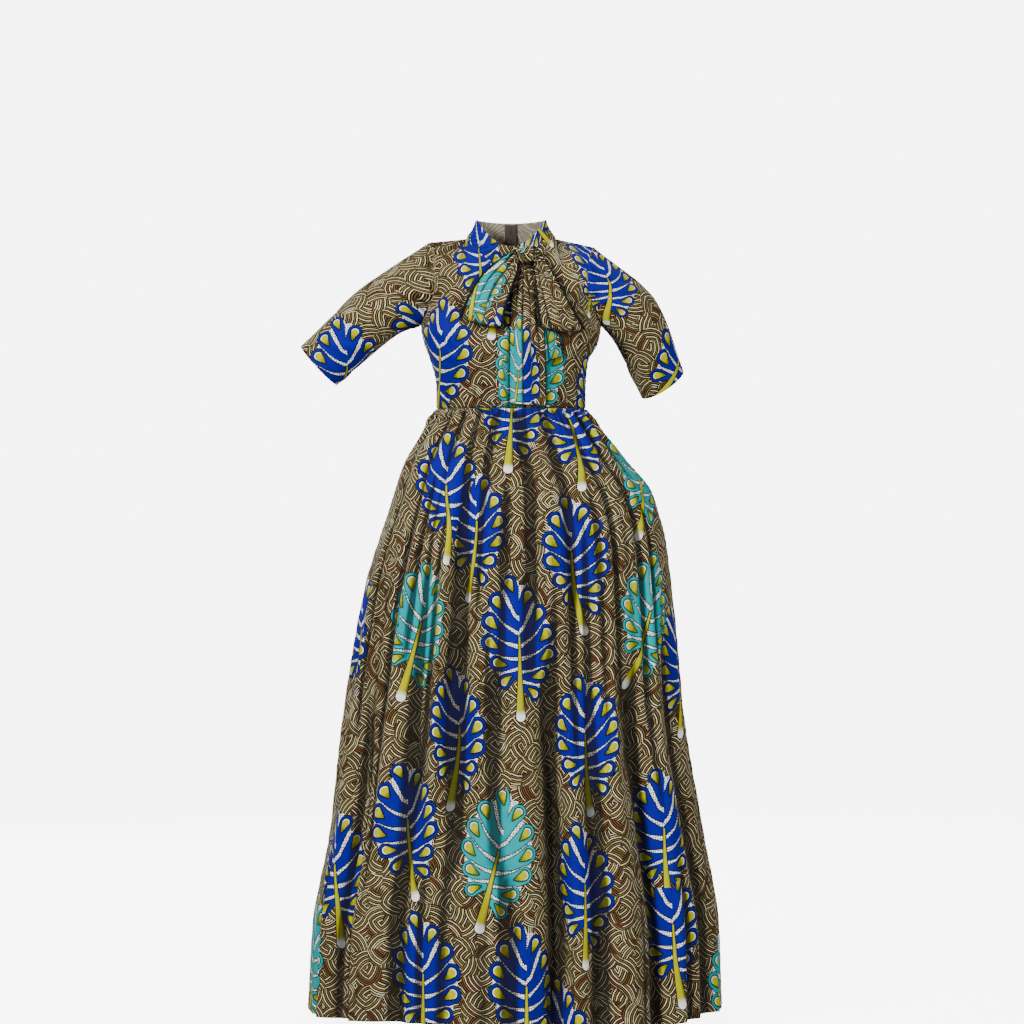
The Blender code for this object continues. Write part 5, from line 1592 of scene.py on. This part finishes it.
# %% Depths under the bow
KNOT = (28.0, -71.0, -31.0)
KNOT_HALF = (16.2, 12.0, 17.0)
SOLID_WALL = 1.5  # the plain solids' wall, which the depths were set for
LAY, LOOP_LAY = 0.8, 2.0
LOOP_COLUMNS, TAIL_COLUMNS = 5, 6
LOOP_EDGES = {
    LEFT: table("along outer_x outer_z inner_x inner_z", (
        (0.0, 11.6, -17, 12.2, -42),
        (0.12, -8, -31, 12, -62),
        (0.33, -52, -67, 5, -90),
        (0.66, -84, -121, -9, -134),
        (1.0, -95, -150, -15, -170),
    )),
    RIGHT: table("along outer_x outer_z inner_x inner_z", (
        (0.0, 44.4, -17, 43.8, -42),
        (0.12, 60, -37, 44, -62),
        (0.33, 83, -74, 46, -90),
        (0.66, 113, -130, 49, -134),
        (1.0, 139, -174, 53, -170),
    )),
}
LOOP_WAY = table("along lift", (
    (0.0, 9), (0.1, 11), (0.22, 16), (0.38, 21), (0.56, 24), (0.74, 24), (0.88, 22),
    (0.965, 17), (1.0, 10), (0.975, 4), (0.92, 1), (0.76, 0), (0.56, 0), (0.36, 0),
    (0.18, 0), (0.0, 0),
))
LOOP_ARCH, LOOP_ROOT_Y, LOOP_BOW, LOOP_REACH = 5.0, -66.0, 8.0, 10.0
TAIL_EDGES = {
    LEFT: table("z left right", (
        (-49.5, 17, 37), (-64, 11, 43), (-90, 4, 52), (-140, -1, 60), (-200, -3, 64),
        (-260, -4, 66), (-315, -4, 66),
    )),
    RIGHT: table("z left right", (
        (-49.0, 21, 40), (-64, 22, 50), (-90, 24, 64), (-140, 27, 80), (-200, 30, 91),
        (-246, 32, 98),
    )),
}
TAIL_SLANT = {LEFT: 4.0, RIGHT: -20.0}
TAIL_ROWS = {LEFT: 23, RIGHT: 17}
TAIL_REACH = {LEFT: 13.0, RIGHT: 14.0}
TAIL_WAVE = 2.2


def surface_tree(grids):
    """A search tree over grids of points, to lay cloth on them."""
    points, faces = [], []
    for grid in grids:
        cells = grid_faces(*grid.shape[:2], False) + len(points)
        points += [tuple(p) for p in grid.reshape(-1, 3)]
        faces += [tuple(map(int, corners)) for a, b, c, d in cells
                  for corners in ((a, b, c), (a, c, d))]
    return BVHTree.FromPolygons(points, faces)


def surface_y(tree, x, z, otherwise):
    hit = tree.ray_cast(Vector((x, -400.0, z)), Vector((0, 1, 0)))[0]
    return otherwise if hit is None else hit.y


def front_depth(tree, x, z, reach):
    """The y of a surface seen from the front, brought forward beside a step or a hollow."""
    seen = [surface_y(tree, x, z + step, None) for step in (0.0, -1.0, 1.0)]
    here = next(y for y in seen if y is not None)
    rise = 0.0
    for away in (reach / 2, reach):
        for turn in range(4):
            dx, dz = (away * wave(turn * math.pi / 4) for wave in (math.cos, math.sin))
            pair = surface_y(tree, x + dx, z + dz, here) + surface_y(tree, x - dx, z - dz, here)
            rise = max(rise, 2 * here - pair, 0.4 * (pair - 2 * here))
    return here - rise


def tail_grid(side, tree):
    """A tail laid down the bodice, as rows from its end up to the knot."""
    edges, slant = TAIL_EDGES[side], TAIL_SLANT[side]
    downs = np.linspace(edges["z"][0], edges["z"][-1], TAIL_ROWS[side])
    shares = np.linspace(0, 1, TAIL_COLUMNS + 1)
    grid = np.zeros((len(downs), len(shares), 3))
    for i, z in enumerate(downs):
        fall = (i / (len(downs) - 1)) ** 2
        left = smooth(-edges["z"], edges["left"], -z)
        right = smooth(-edges["z"], edges["right"], -z)
        for j, share in enumerate(shares):
            x, low = left + (right - left) * share, z - slant * share * fall
            soft = TAIL_WAVE * math.sin(share * 2 * math.pi) ** 2 * ease(60, 130, -z)
            y = front_depth(tree, x, low, TAIL_REACH[side]) - LAY - SOLID_WALL - soft
            grid[i, j] = (x, y, low)
    return grid[::-1]


def loop_grid(side, tree):
    """A loop: one ribbon that runs out from the knot, folds over and comes back behind."""
    edges = LOOP_EDGES[side]
    shares = np.linspace(0, 1, LOOP_COLUMNS + 1)
    way = list(zip(LOOP_WAY["along"], LOOP_WAY["lift"]))
    grid = np.zeros((len(way), len(shares), 3))
    fold = int(np.argmax(LOOP_WAY["along"]))
    for i, (along, lift) in enumerate(way):
        outer = [smooth(edges["along"], edges["outer_" + axis], along) for axis in "xz"]
        inner = [smooth(edges["along"], edges["inner_" + axis], along) for axis in "xz"]
        for j, share in enumerate(shares):
            crown = 4 * share * (1 - share)
            x = outer[0] + (inner[0] - outer[0]) * share
            z = outer[1] + (inner[1] - outer[1]) * share - LOOP_BOW * crown * along ** 2
            arch = LOOP_ARCH * crown * min(1, lift / 10) * (1 if i < fold else 0)
            behind = front_depth(tree, x, z, LOOP_REACH * ease(-0.4, 0.3, along)) - LOOP_LAY
            held = LOOP_ROOT_Y + (behind - LOOP_ROOT_Y) * ease(0, 0.3, along)
            grid[i, j] = (x, min(behind, held) - lift - arch, z)
    return grid[:, ::-1] if side == LEFT else grid


plain_front = bodice_grids(1)[0]
plain_back_left, plain_back_right = bodice_grids(1)[1:3]
plain_neck = round(10 * NECK_SHARE)
plain_ring = np.concatenate([plain_back_left[-1, :11 - plain_neck],
                             plain_front[-1, plain_neck + 1:-plain_neck - 1],
                             plain_back_right[-1, plain_neck:]])
under = [plain_front, collar_grid(plain_ring, 3)]
tail_right_grid = tail_grid(RIGHT, surface_tree(under))
tail_left_grid = tail_grid(LEFT, surface_tree(under + [tail_right_grid]))
bow_tree = surface_tree(under + [tail_right_grid, tail_left_grid])
loop_grids = {side: loop_grid(side, bow_tree) for side in (LEFT, RIGHT)}
print("loop:", loop_grids[LEFT].shape[:2], "tail:", tail_left_grid.shape[:2], "rows and columns")

# %% [markdown]
# ## The bow's cloth
#
# The knot squeezes the band's full width into a few centimetres, so deep pleats run out
# of it and fade. The grids are made finer, their ends are led into the knot, and each
# one gets pleats of uneven height and a narrow stitched edge. The edge's thread is
# near-black and wide, so it also paints the shadow along the bow's rims. The cloth
# hidden in the pleats is counted in its flat width, so the print jumps at them as it
# does on a real bow.

# %% Tails and loops
TAIL_FINE = {LEFT: (150, 72), RIGHT: (110, 72)}
LOOP_FINE = (190, 66)
INTO_KNOT = 9.0  # how far a ribbon's end runs on inside the knot
EDGE_ROLL, EDGE_ROLL_WIDTH = 0.7, 3.0
# Pleats: share of the width, depth, half width as a share, how far from the knot they
# reach and how much cloth each one hides.
TAIL_PLEATS = {
    LEFT: ((0.16, 1.6, 0.045, 150, 4), (0.38, 3.2, 0.040, 420, 34), (0.60, 2.0, 0.05, 230, 8),
           (0.83, 1.7, 0.045, 330, 6)),
    RIGHT: ((0.30, 1.8, 0.05, 200, 6), (0.62, 2.8, 0.045, 320, 22), (0.84, 1.6, 0.05, 260, 6)),
}
LOOP_PLEATS = {
    LEFT: ((0.22, 3.0, 0.055, 90, 5), (0.50, 4.0, 0.06, 150, 8), (0.76, 3.2, 0.055, 130, 6)),
    RIGHT: ((0.20, 2.2, 0.07, 90, 5), (0.44, 2.4, 0.06, 110, 8), (0.74, 4.6, 0.05, 190, 7)),
}


def led_into_knot(grid, end):
    """Run a ribbon's end on into the knot, drawn together."""
    place = 0 if end == "bottom" else -1
    edge = grid[place]
    target = edge + (np.array(KNOT) - edge.mean(axis=0)) * 0.75
    target = target + (np.array(KNOT) - target) * 0.35
    way = target - edge
    inside = (edge + unit(way) * INTO_KNOT)[None]
    return np.concatenate([inside, grid]) if place == 0 else np.concatenate([grid, inside])


def pleat(piece, pleats, from_knot):
    """Press pleats into a ribbon and count the cloth that they hide."""
    points = piece["points"]
    share = np.linspace(0, 1, points.shape[1])[None]
    relief = np.zeros(points.shape[:2])
    hidden = np.zeros_like(relief)
    for place, depth, width, reach, cloth in pleats:
        drift = place + (place - 0.5) * 0.06 * np.sin(from_knot / 37 + 9 * place)
        fade = bell(from_knot, reach)
        relief = relief - depth * fade * bell(share - drift, width)
        side = bell(np.abs(share - drift) - 1.9 * width, width)
        relief = relief + 0.35 * depth * fade * side
        hidden = hidden + cloth * ease(-0.4 * width, 0.4 * width, share - drift)
    wide = lengths(points, 1)
    rim = np.minimum(wide, wide[:, -1:] - wide)
    relief = relief + EDGE_ROLL * bell(rim - 1.2, EDGE_ROLL_WIDTH / 2)
    piece["points"] = points + piece["normals"] * relief[..., None]
    piece["u_wide"] = piece["u_wide"] + hidden
    piece["u"] = piece["u_wide"]


def ribbon(node, grid, fine, pleats, double):
    """A tail or a loop as cloth: a loop has both of its ends in the knot."""
    piece = panel(node, finer(grid, *fine))
    set_normals([piece])
    lay_flat(piece)
    down = lengths(piece["points"], 0)
    from_knot = down[-1:] - down
    if double:
        from_knot = np.minimum(from_knot, down)
    pleat(piece, pleats, from_knot)
    set_normals([piece])
    return piece


tails, loops = [], []
for side, name, laid in ((LEFT, "left", tail_left_grid), (RIGHT, "right", tail_right_grid)):
    tails.append(ribbon("bow_tail_" + name, led_into_knot(laid, "top"), TAIL_FINE[side],
                        TAIL_PLEATS[side], False))
    grid = led_into_knot(led_into_knot(loop_grids[side], "bottom"), "top")
    loops.append(ribbon("bow_loop_" + name, grid, LOOP_FINE, LOOP_PLEATS[side], True))
for piece in tails + loops:
    # Bound edges take the near-black edge thread, which also paints shadow at the rims.
    thing = cloth_piece(piece, CLOTH_SIDES, leaf_places(piece), shift=(120, 700),
                        bound=(2, 1) if "tail" in piece["node"] else (4, 0), deep=PLEAT_DEEP)
    declare_sheet(thing, piece)

# %% [markdown]
# ## The knot
#
# The knot is a short band that wraps the bow's middle. It is a ring of cloth with a
# round, swollen section, pinched by a few creases that run across it, and its two ends
# close over the ribbons that come out.

# %% The knot
KNOT_ROWS, KNOT_COLUMNS = 40, 88
KNOT_ROUND = 3.0  # how boxy the band is from side to side
KNOT_CREASES = ((-0.45, 1.1, 0.16, 0.5), (0.08, 1.7, 0.13, 1.8), (0.50, 1.0, 0.15, 3.2))


def knot_grid():
    """Rings from the knot's left end to its right end, round its front and back."""
    side = np.linspace(-1, 1, KNOT_ROWS + 1)[:, None]
    turn = np.linspace(0, 2 * math.pi, KNOT_COLUMNS + 1)[:-1][None]
    radius = (1 - np.abs(side) ** KNOT_ROUND) ** 0.5 * 0.97 + 0.03
    crease = np.zeros((KNOT_ROWS + 1, KNOT_COLUMNS))
    for place, depth, width, start in KNOT_CREASES:
        drift = place + 0.12 * np.sin(turn + start)
        crease = crease + depth * bell(side - drift, width)
    wave = 0.5 * np.sin(3 * turn + 2 * side)
    round_y = np.sign(np.sin(turn)) * np.abs(np.sin(turn)) ** 0.85
    round_z = np.sign(np.cos(turn)) * np.abs(np.cos(turn)) ** 0.85
    x = KNOT[0] + KNOT_HALF[0] * side + 0 * turn
    y = KNOT[1] - (KNOT_HALF[1] * radius - crease + wave) * round_y
    z = KNOT[2] + (KNOT_HALF[2] * radius - crease + wave) * round_z
    return np.stack([x, y, z], -1)


def face_outwards(piece):
    """Turn a ring-shaped piece's columns round if its directions point inwards."""
    points = piece["points"]
    row = len(points) // 2
    if ((points[row] - points[row].mean(axis=0)) * piece["normals"][row]).sum() < 0:
        piece["points"] = points[:, ::-1]
        set_normals([piece])


knot = panel("bow_knot", knot_grid(), loop=True)
set_normals([knot])
face_outwards(knot)
lay_flat(knot)
thing = cloth_piece(knot, CLOTH_SIDES, leaf_places(knot), thickness=0.6, shift=(400, 120),
                    deep=PLEAT_DEEP)
declare_sheet(thing, knot)

# %% [markdown]
# ## Shade round the bow
#
# The bow lies so close on the bodice that little light gets under its rims. The lamps
# are large and soft, and would leave that gap pale. So the points beside a rim take
# some of the shade that a deep fold has, more of it below and to the right, away from
# the key light. Tails take it from the loops, and loops from the knot.

# %% Shade round the bow
SHADE_REACH, SHADE_DEEP = 13.0, 0.9
TOWARDS_KEY = Vector((-2.5, -1.0, 4.0)) * MM


def rim_tree(nodes):
    """One search tree over the finished cloth of several pieces."""
    points, faces = [], []
    for node in nodes:
        mesh = bpy.data.objects[node + "_cloth"].data
        faces += [[len(points) + corner for corner in face.vertices] for face in mesh.polygons]
        points += [vertex.co.copy() for vertex in mesh.vertices]
    return BVHTree.FromPolygons(points, faces)


def shade_beside(node, nodes):
    """Darken a cloth beside the pieces that lie on it."""
    mesh = bpy.data.objects[node + "_cloth"].data
    tree = rim_tree(nodes)
    fold = mesh.attributes["fold"].data
    values = np.zeros(len(fold), np.float32)
    fold.foreach_get("value", values)
    shaded = 0
    for number, vertex in enumerate(mesh.vertices):
        away = tree.find_nearest(vertex.co + TOWARDS_KEY, SHADE_REACH * MM)[3]
        if away is not None:
            values[number] = max(values[number], SHADE_DEEP * (1 - away / MM / SHADE_REACH))
            shaded += 1
    fold.foreach_set("value", values)
    print(f"{node}: {shaded} points beside {nodes}")


LOOPS, TAILS = ["bow_loop_left", "bow_loop_right"], ["bow_tail_left", "bow_tail_right"]
shade_beside("bodice_front", [*LOOPS, *TAILS, "bow_knot"])
for node in TAILS:
    shade_beside(node, [*LOOPS, "bow_knot"])
for node in LOOPS:
    shade_beside(node, ["bow_knot"])

# %% [markdown]
# ## Pockets
#
# A bag hangs behind each side seam's slit. Its mouth is sewn to the slit's two lips, and
# from there it widens, drops and turns to the front. It could be cut from the print,
# but a plain dark cotton is thinner, and only its mouth is ever seen.

# %% Pockets
BAG_RINGS = table("into down half_tall half_thick", (
    (18, 6, 80, 11), (45, 18, 90, 12), (85, 34, 98, 11), (120, 46, 88, 8), (142, 50, 60, 4),
    (147, 51, 55, 1.4),
))
BAG_GAP, BAG_FULL = 0.5, {LEFT: 0.55, RIGHT: 1.0}
BAG_END_INSET, BAG_END_SEAM = 6.0, 5.0
BAG_TURN, BAG_TURN_BY = math.radians(25), 85.0
BAG_STEPS = 34
BAG_CREASE = 1.1


def woven(name, thread, gap, pitch, roughness):
    """A plain woven cotton or tape: threads over and under, with uneven dye."""
    made, w, shader = open_material(name, thread, roughness)
    cloth = w.layer("cloth")
    x, y, _ = w.split(cloth)
    turn = math.pi / (pitch * MM)
    weave = w.times(w.sine(w.times(x, turn)), w.sine(w.times(y, turn)))
    colour = w.mix(w.step(weave, -0.5, 0.6), gap, thread)
    dye = w.noise(cloth, 160.0, 4.0)
    w.join(w.mix(w.step(dye, 0.3, 0.8, 0.0, 0.5), colour, gap), shader["Base Color"])
    w.relief(weave, 0.4, 0.15, shader)
    return made


def pocket_grid(side, front_edge, back_edge):
    """Rings of a bag from its mouth to its closed end."""
    ends = (front_edge[[0, -1]] + back_edge[[0, -1]]) / 2
    up = unit(ends[0] - ends[1])
    mouth = np.concatenate([ends[:1], front_edge[1:-1], ends[1:], back_edge[1:-1][::-1]])
    middle = mouth.mean(axis=0)
    count = len(front_edge) - 1
    around = np.arccos(np.linspace(1, -1, count + 1))
    around = np.concatenate([around, 2 * math.pi - around[1:-1][::-1]])[:, None]
    away = unit(up * np.cos(around) ** 3 + np.array([0.0, -1.0, 0.0]) * np.sin(around))
    for place, way in ((0, 1), (count, -1)):
        mouth[place] -= up * way * BAG_END_INSET
        away[place] = up * way * BAG_END_SEAM
    mouth = mouth + away
    rings = []
    for into in np.linspace(0, BAG_RINGS["into"][-1], BAG_STEPS):
        deep = max(into, BAG_RINGS["into"][0])
        down, tall, thick = (smooth(BAG_RINGS["into"], BAG_RINGS[name], deep)
                             for name in ("down", "half_tall", "half_thick"))
        turn = BAG_TURN * min(1.0, deep / BAG_TURN_BY)
        inward = np.array([-side * math.cos(turn), -math.sin(turn), 0.0])
        front = np.array([side * math.sin(turn), -math.cos(turn), 0.0])
        crease = BAG_CREASE * ease(20, 60, into) * np.sin(5 * around + into / 14 * side)
        thick = (thick * BAG_FULL[side] + 1) + crease * min(1, thick / 8)
        ring = (middle + inward * deep - up * down + up * np.cos(around) * (tall + 1)
                + front * np.sin(around) * thick)
        share = min(1.0, into / BAG_RINGS["into"][0])
        rings.append(mouth + (ring - mouth) * share)
    return np.array(rings)


POCKET_COTTON = woven("pocket_cotton", (0.035, 0.026, 0.018), (0.012, 0.009, 0.007), 0.7, 0.85)
slit_rows = np.flatnonzero((depths >= SLIT_TOP) & (depths <= SLIT_BOTTOM))[::-1]
for side, node, back_piece in ((LEFT, "pocket_left", skirt_left),
                               (RIGHT, "pocket_right", skirt_right)):
    lips = [made["points"][slit_rows, column]
            - made["normals"][slit_rows, column] * (SOLID_WALL + BAG_GAP)
            for made, column in ((skirt_front, 0 if side == LEFT else -1),
                                 (back_piece, -1 if side == LEFT else 0))]
    piece = panel(node, pocket_grid(side, *lips), loop=True)
    set_normals([piece])
    face_outwards(piece)
    lay_flat(piece)
    thing = cloth_piece(piece, (POCKET_COTTON,) * 3, thickness=0.5)
    declare_sheet(thing, piece)

# %% [markdown]
# ## The zip
#
# The zip is hidden in the centre back seam, from the collar to below the waist. Inside
# one sees its woven tape and a double row of small coiled teeth. The teeth follow a
# path, so they are made by Geometry Nodes: the path is cut into equal steps and gets a
# bead at each. The same tree makes the stitches later.

# %% Beads along a path
ZIP_TEETH_PITCH = 1.6
TAPE_HALF, TAPE_THICK, TAPE_BELOW_WAIST = 12.0, 0.8, 130.0
TAPE_ROWS, TAPE_COLUMNS = 120, 9


def bead_tree():
    """Geometry nodes that set a bead at equal steps along each path."""
    tree = bpy.data.node_groups.new("beads_along_path", "GeometryNodeTree")
    face = tree.interface
    face.new_socket("Path", in_out="INPUT", socket_type="NodeSocketGeometry")
    for name in ("Spacing", "Length", "Depth", "Width"):
        face.new_socket(name, in_out="INPUT", socket_type="NodeSocketFloat")
    face.new_socket("Material", in_out="INPUT", socket_type="NodeSocketMaterial")
    face.new_socket("Beads", in_out="OUTPUT", socket_type="NodeSocketGeometry")
    nodes, join = tree.nodes, tree.links.new
    given = nodes.new("NodeGroupInput").outputs
    result = nodes.new("NodeGroupOutput").inputs
    curve = nodes.new("GeometryNodeMeshToCurve")
    cut = nodes.new("GeometryNodeResampleCurve")
    cut.mode = "LENGTH"
    tangent = nodes.new("GeometryNodeInputTangent")
    turn = nodes.new("FunctionNodeAlignRotationToVector")
    turn.axis = "X"
    bead = nodes.new("GeometryNodeMeshUVSphere")
    bead.inputs["Segments"].default_value = 6
    bead.inputs["Rings"].default_value = 4
    bead.inputs["Radius"].default_value = 0.5
    size = nodes.new("ShaderNodeCombineXYZ")
    place = nodes.new("GeometryNodeInstanceOnPoints")
    smooth_faces = nodes.new("GeometryNodeSetShadeSmooth")
    real, dress = nodes.new("GeometryNodeRealizeInstances"), nodes.new("GeometryNodeSetMaterial")
    join(given["Path"], curve.inputs[0])
    join(curve.outputs[0], cut.inputs["Curve"])
    join(given["Spacing"], cut.inputs["Length"])
    join(cut.outputs[0], place.inputs["Points"])
    join(bead.outputs["Mesh"], smooth_faces.inputs[0])
    join(smooth_faces.outputs[0], place.inputs["Instance"])
    join(tangent.outputs[0], turn.inputs["Vector"])
    join(turn.outputs[0], place.inputs["Rotation"])
    join(given["Length"], size.inputs["X"])
    join(given["Depth"], size.inputs["Y"])
    join(given["Width"], size.inputs["Z"])
    join(size.outputs[0], place.inputs["Scale"])
    join(place.outputs[0], real.inputs[0])
    join(real.outputs[0], dress.inputs["Geometry"])
    join(given["Material"], dress.inputs["Material"])
    join(dress.outputs[0], result[0])
    return tree


def beads(name, paths, spacing, size, material):
    """A piece of beads along paths given in millimetres."""
    mesh = bpy.data.meshes.new(name + "_path")
    edges, count = [], 0
    for path in paths:
        edges += [(count + i, count + i + 1) for i in range(len(path) - 1)]
        count += len(path)
    mesh.from_pydata([tuple(p) for p in np.concatenate(paths) * MM], edges, [])
    source = add_object(name + "_path", mesh)
    modifier = source.modifiers.new("beads", "NODES")
    modifier.node_group = BEADS
    values = {"Spacing": spacing * MM, "Length": size[0] * MM, "Depth": size[1] * MM,
              "Width": size[2] * MM, "Material": material}
    for item in BEADS.interface.items_tree:
        if item.in_out == "INPUT" and item.name in values:
            modifier[item.identifier] = values[item.name]
    bpy.context.view_layer.update()
    ready = source.evaluated_get(bpy.context.evaluated_depsgraph_get())
    made = bpy.data.meshes.new_from_object(ready)
    made.name = name
    bpy.data.objects.remove(source)
    thing = add_object(name, made)
    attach(thing, "dress")
    print(name + ":", len(made.polygons), "faces")


BEADS = bead_tree()
print("bead tree:", len(BEADS.nodes), "nodes")

# %% The zip
def coil_plastic():
    """The teeth's dark plastic, with a soft, slightly uneven shine."""
    made, w, shader = open_material("coil_plastic", (0.03, 0.026, 0.022), 0.35)
    uneven = w.noise(w.spot(), 700.0)
    w.join(w.mix(uneven, (0.018, 0.015, 0.012), (0.05, 0.043, 0.036)), shader["Base Color"])
    w.join(w.step(uneven, 0.2, 0.8, 0.28, 0.5), shader["Roughness"])
    return made


def tape_grid():
    """The tape behind the seam, as near to the cloth as its wall lets it lie."""
    inside = surface_tree([made["points"] - made["normals"] * WALL
                           for made in (back_left, back_right, collar, skirt_left, skirt_right)])
    top = COLLAR_TOP_BACK[1] - 3.0
    heights = np.linspace(WAIST_Z - TAPE_BELOW_WAIST, top, TAPE_ROWS)
    rows = []
    for z in heights:
        near = []
        for dx in np.linspace(-TAPE_HALF - 1, TAPE_HALF + 1, 7):
            for dz in (-8, -3, 0, 3, 8):
                hit = inside.ray_cast(Vector((dx, 0, min(z + dz, top))), Vector((0, 1, 0)))[0]
                near += [] if hit is None else [hit.y]
        rows.append(min(near) - 0.3)
    across = np.linspace(TAPE_HALF, -TAPE_HALF, TAPE_COLUMNS)
    return np.array([[(x, y, z) for x in across] for y, z in zip(rows, heights)])


TAPE_WEAVE = woven("zip_tape_weave", (0.060, 0.042, 0.026), (0.020, 0.014, 0.010), 0.9, 0.8)
tape = panel("zip_tape", tape_grid())
set_normals([tape])
lay_flat(tape)
thing = cloth_piece(tape, (TAPE_WEAVE,) * 3, thickness=TAPE_THICK)
declare_sheet(thing, tape)
middle_line = tape["points"][2:-2, TAPE_COLUMNS // 2] - (0, TAPE_THICK + 0.35, 0)
beads("zip_teeth", [middle_line + (x, 0, 0) for x in (-1.15, 1.15)], ZIP_TEETH_PITCH,
      (1.0, 1.2, 2.4), coil_plastic())

# %% [markdown]
# ## The slider and its pull
#
# Both are kept as the packed model has them, because their plain cast shapes are right.
# They get the dull, brushed metal of a small zip, with patches of darker tarnish.

# %% Metal
def brushed_metal():
    made, w, shader = open_material("brushed_metal", (0.30, 0.27, 0.22), 0.34, 1.0)
    spot = w.spot()
    x, y, z = w.split(spot)
    strokes = w.noise(w.combine(w.times(x, 9.0), w.times(y, 9.0), z), 420.0, 3.0)
    tarnish = w.step(w.noise(spot, 180.0, 4.0), 0.35, 0.7)
    w.join(w.mix(tarnish, (0.36, 0.32, 0.25), (0.17, 0.14, 0.10)), shader["Base Color"])
    w.join(w.step(strokes, 0.3, 0.7, 0.24, 0.46), shader["Roughness"])
    w.relief(strokes, 0.15, 0.05, shader)
    return made


METAL = brushed_metal()
for name in ("zip_slider", "zip_pull"):
    for held in bpy.data.objects[name].material_slots:
        held.material = METAL
print("metal on:", "zip_slider", "zip_pull")

# %% [markdown]
# ## Stitches
#
# Stitches hold the hem, the cuffs, the collar's edge and the lips of the slits. They
# are short dark threads in even steps, each sunk a little in the cloth.

# %% Stitches
STITCH_PITCH, STITCH = 3.1, (2.3, 0.55, 0.55)
STITCH_LIFT = 0.08


def stitch_line(piece, edge, distance, part=slice(None)):
    """A line on a panel's outer side, a steady distance in from one of its edges."""
    far = edge_distance(piece, edge)
    grid = piece["points"] + piece["normals"] * STITCH_LIFT
    if edge in ("top", "bottom"):
        far, grid = far.T, grid.transpose(1, 0, 2)
    line = []
    for one, row in zip(far[part], grid[part]):
        order = np.argsort(one)
        line.append([np.interp(distance, one[order], row[order, axis]) for axis in range(3)])
    if piece["loop"]:
        line.append(line[0])
    return np.array(line)


def thread_material():
    """Dark sewing thread with the twist of its strands."""
    made, w, shader = open_material("sewing_thread", (0.02, 0.017, 0.013), 0.6)
    x, _, z = w.split(w.spot())
    twist = w.sine(w.times(w.add(x, z), 2 * math.pi / (0.35 * MM)))
    w.join(w.mix(w.step(twist, -0.4, 0.8), (0.008, 0.007, 0.005), (0.045, 0.038, 0.028)),
           shader["Base Color"])
    return made


slit = slice(slit_rows.min(), slit_rows.max() + 1)
seams = [stitch_line(piece, "bottom", HEM_WIDTH - 1) for piece in skirt]
seams += [stitch_line(piece, "top", HEM_WIDTH - 1) for piece in sleeves]
seams += [stitch_line(collar, "top", 4.0)]
seams += [stitch_line(piece, edge, 5.0, slit) for piece, edge in (
    (skirt_front, "first"), (skirt_front, "last"), (skirt_left, "last"), (skirt_right, "first"))]
beads("stitches", seams, STITCH_PITCH, STITCH, thread_material())


# %% [markdown]
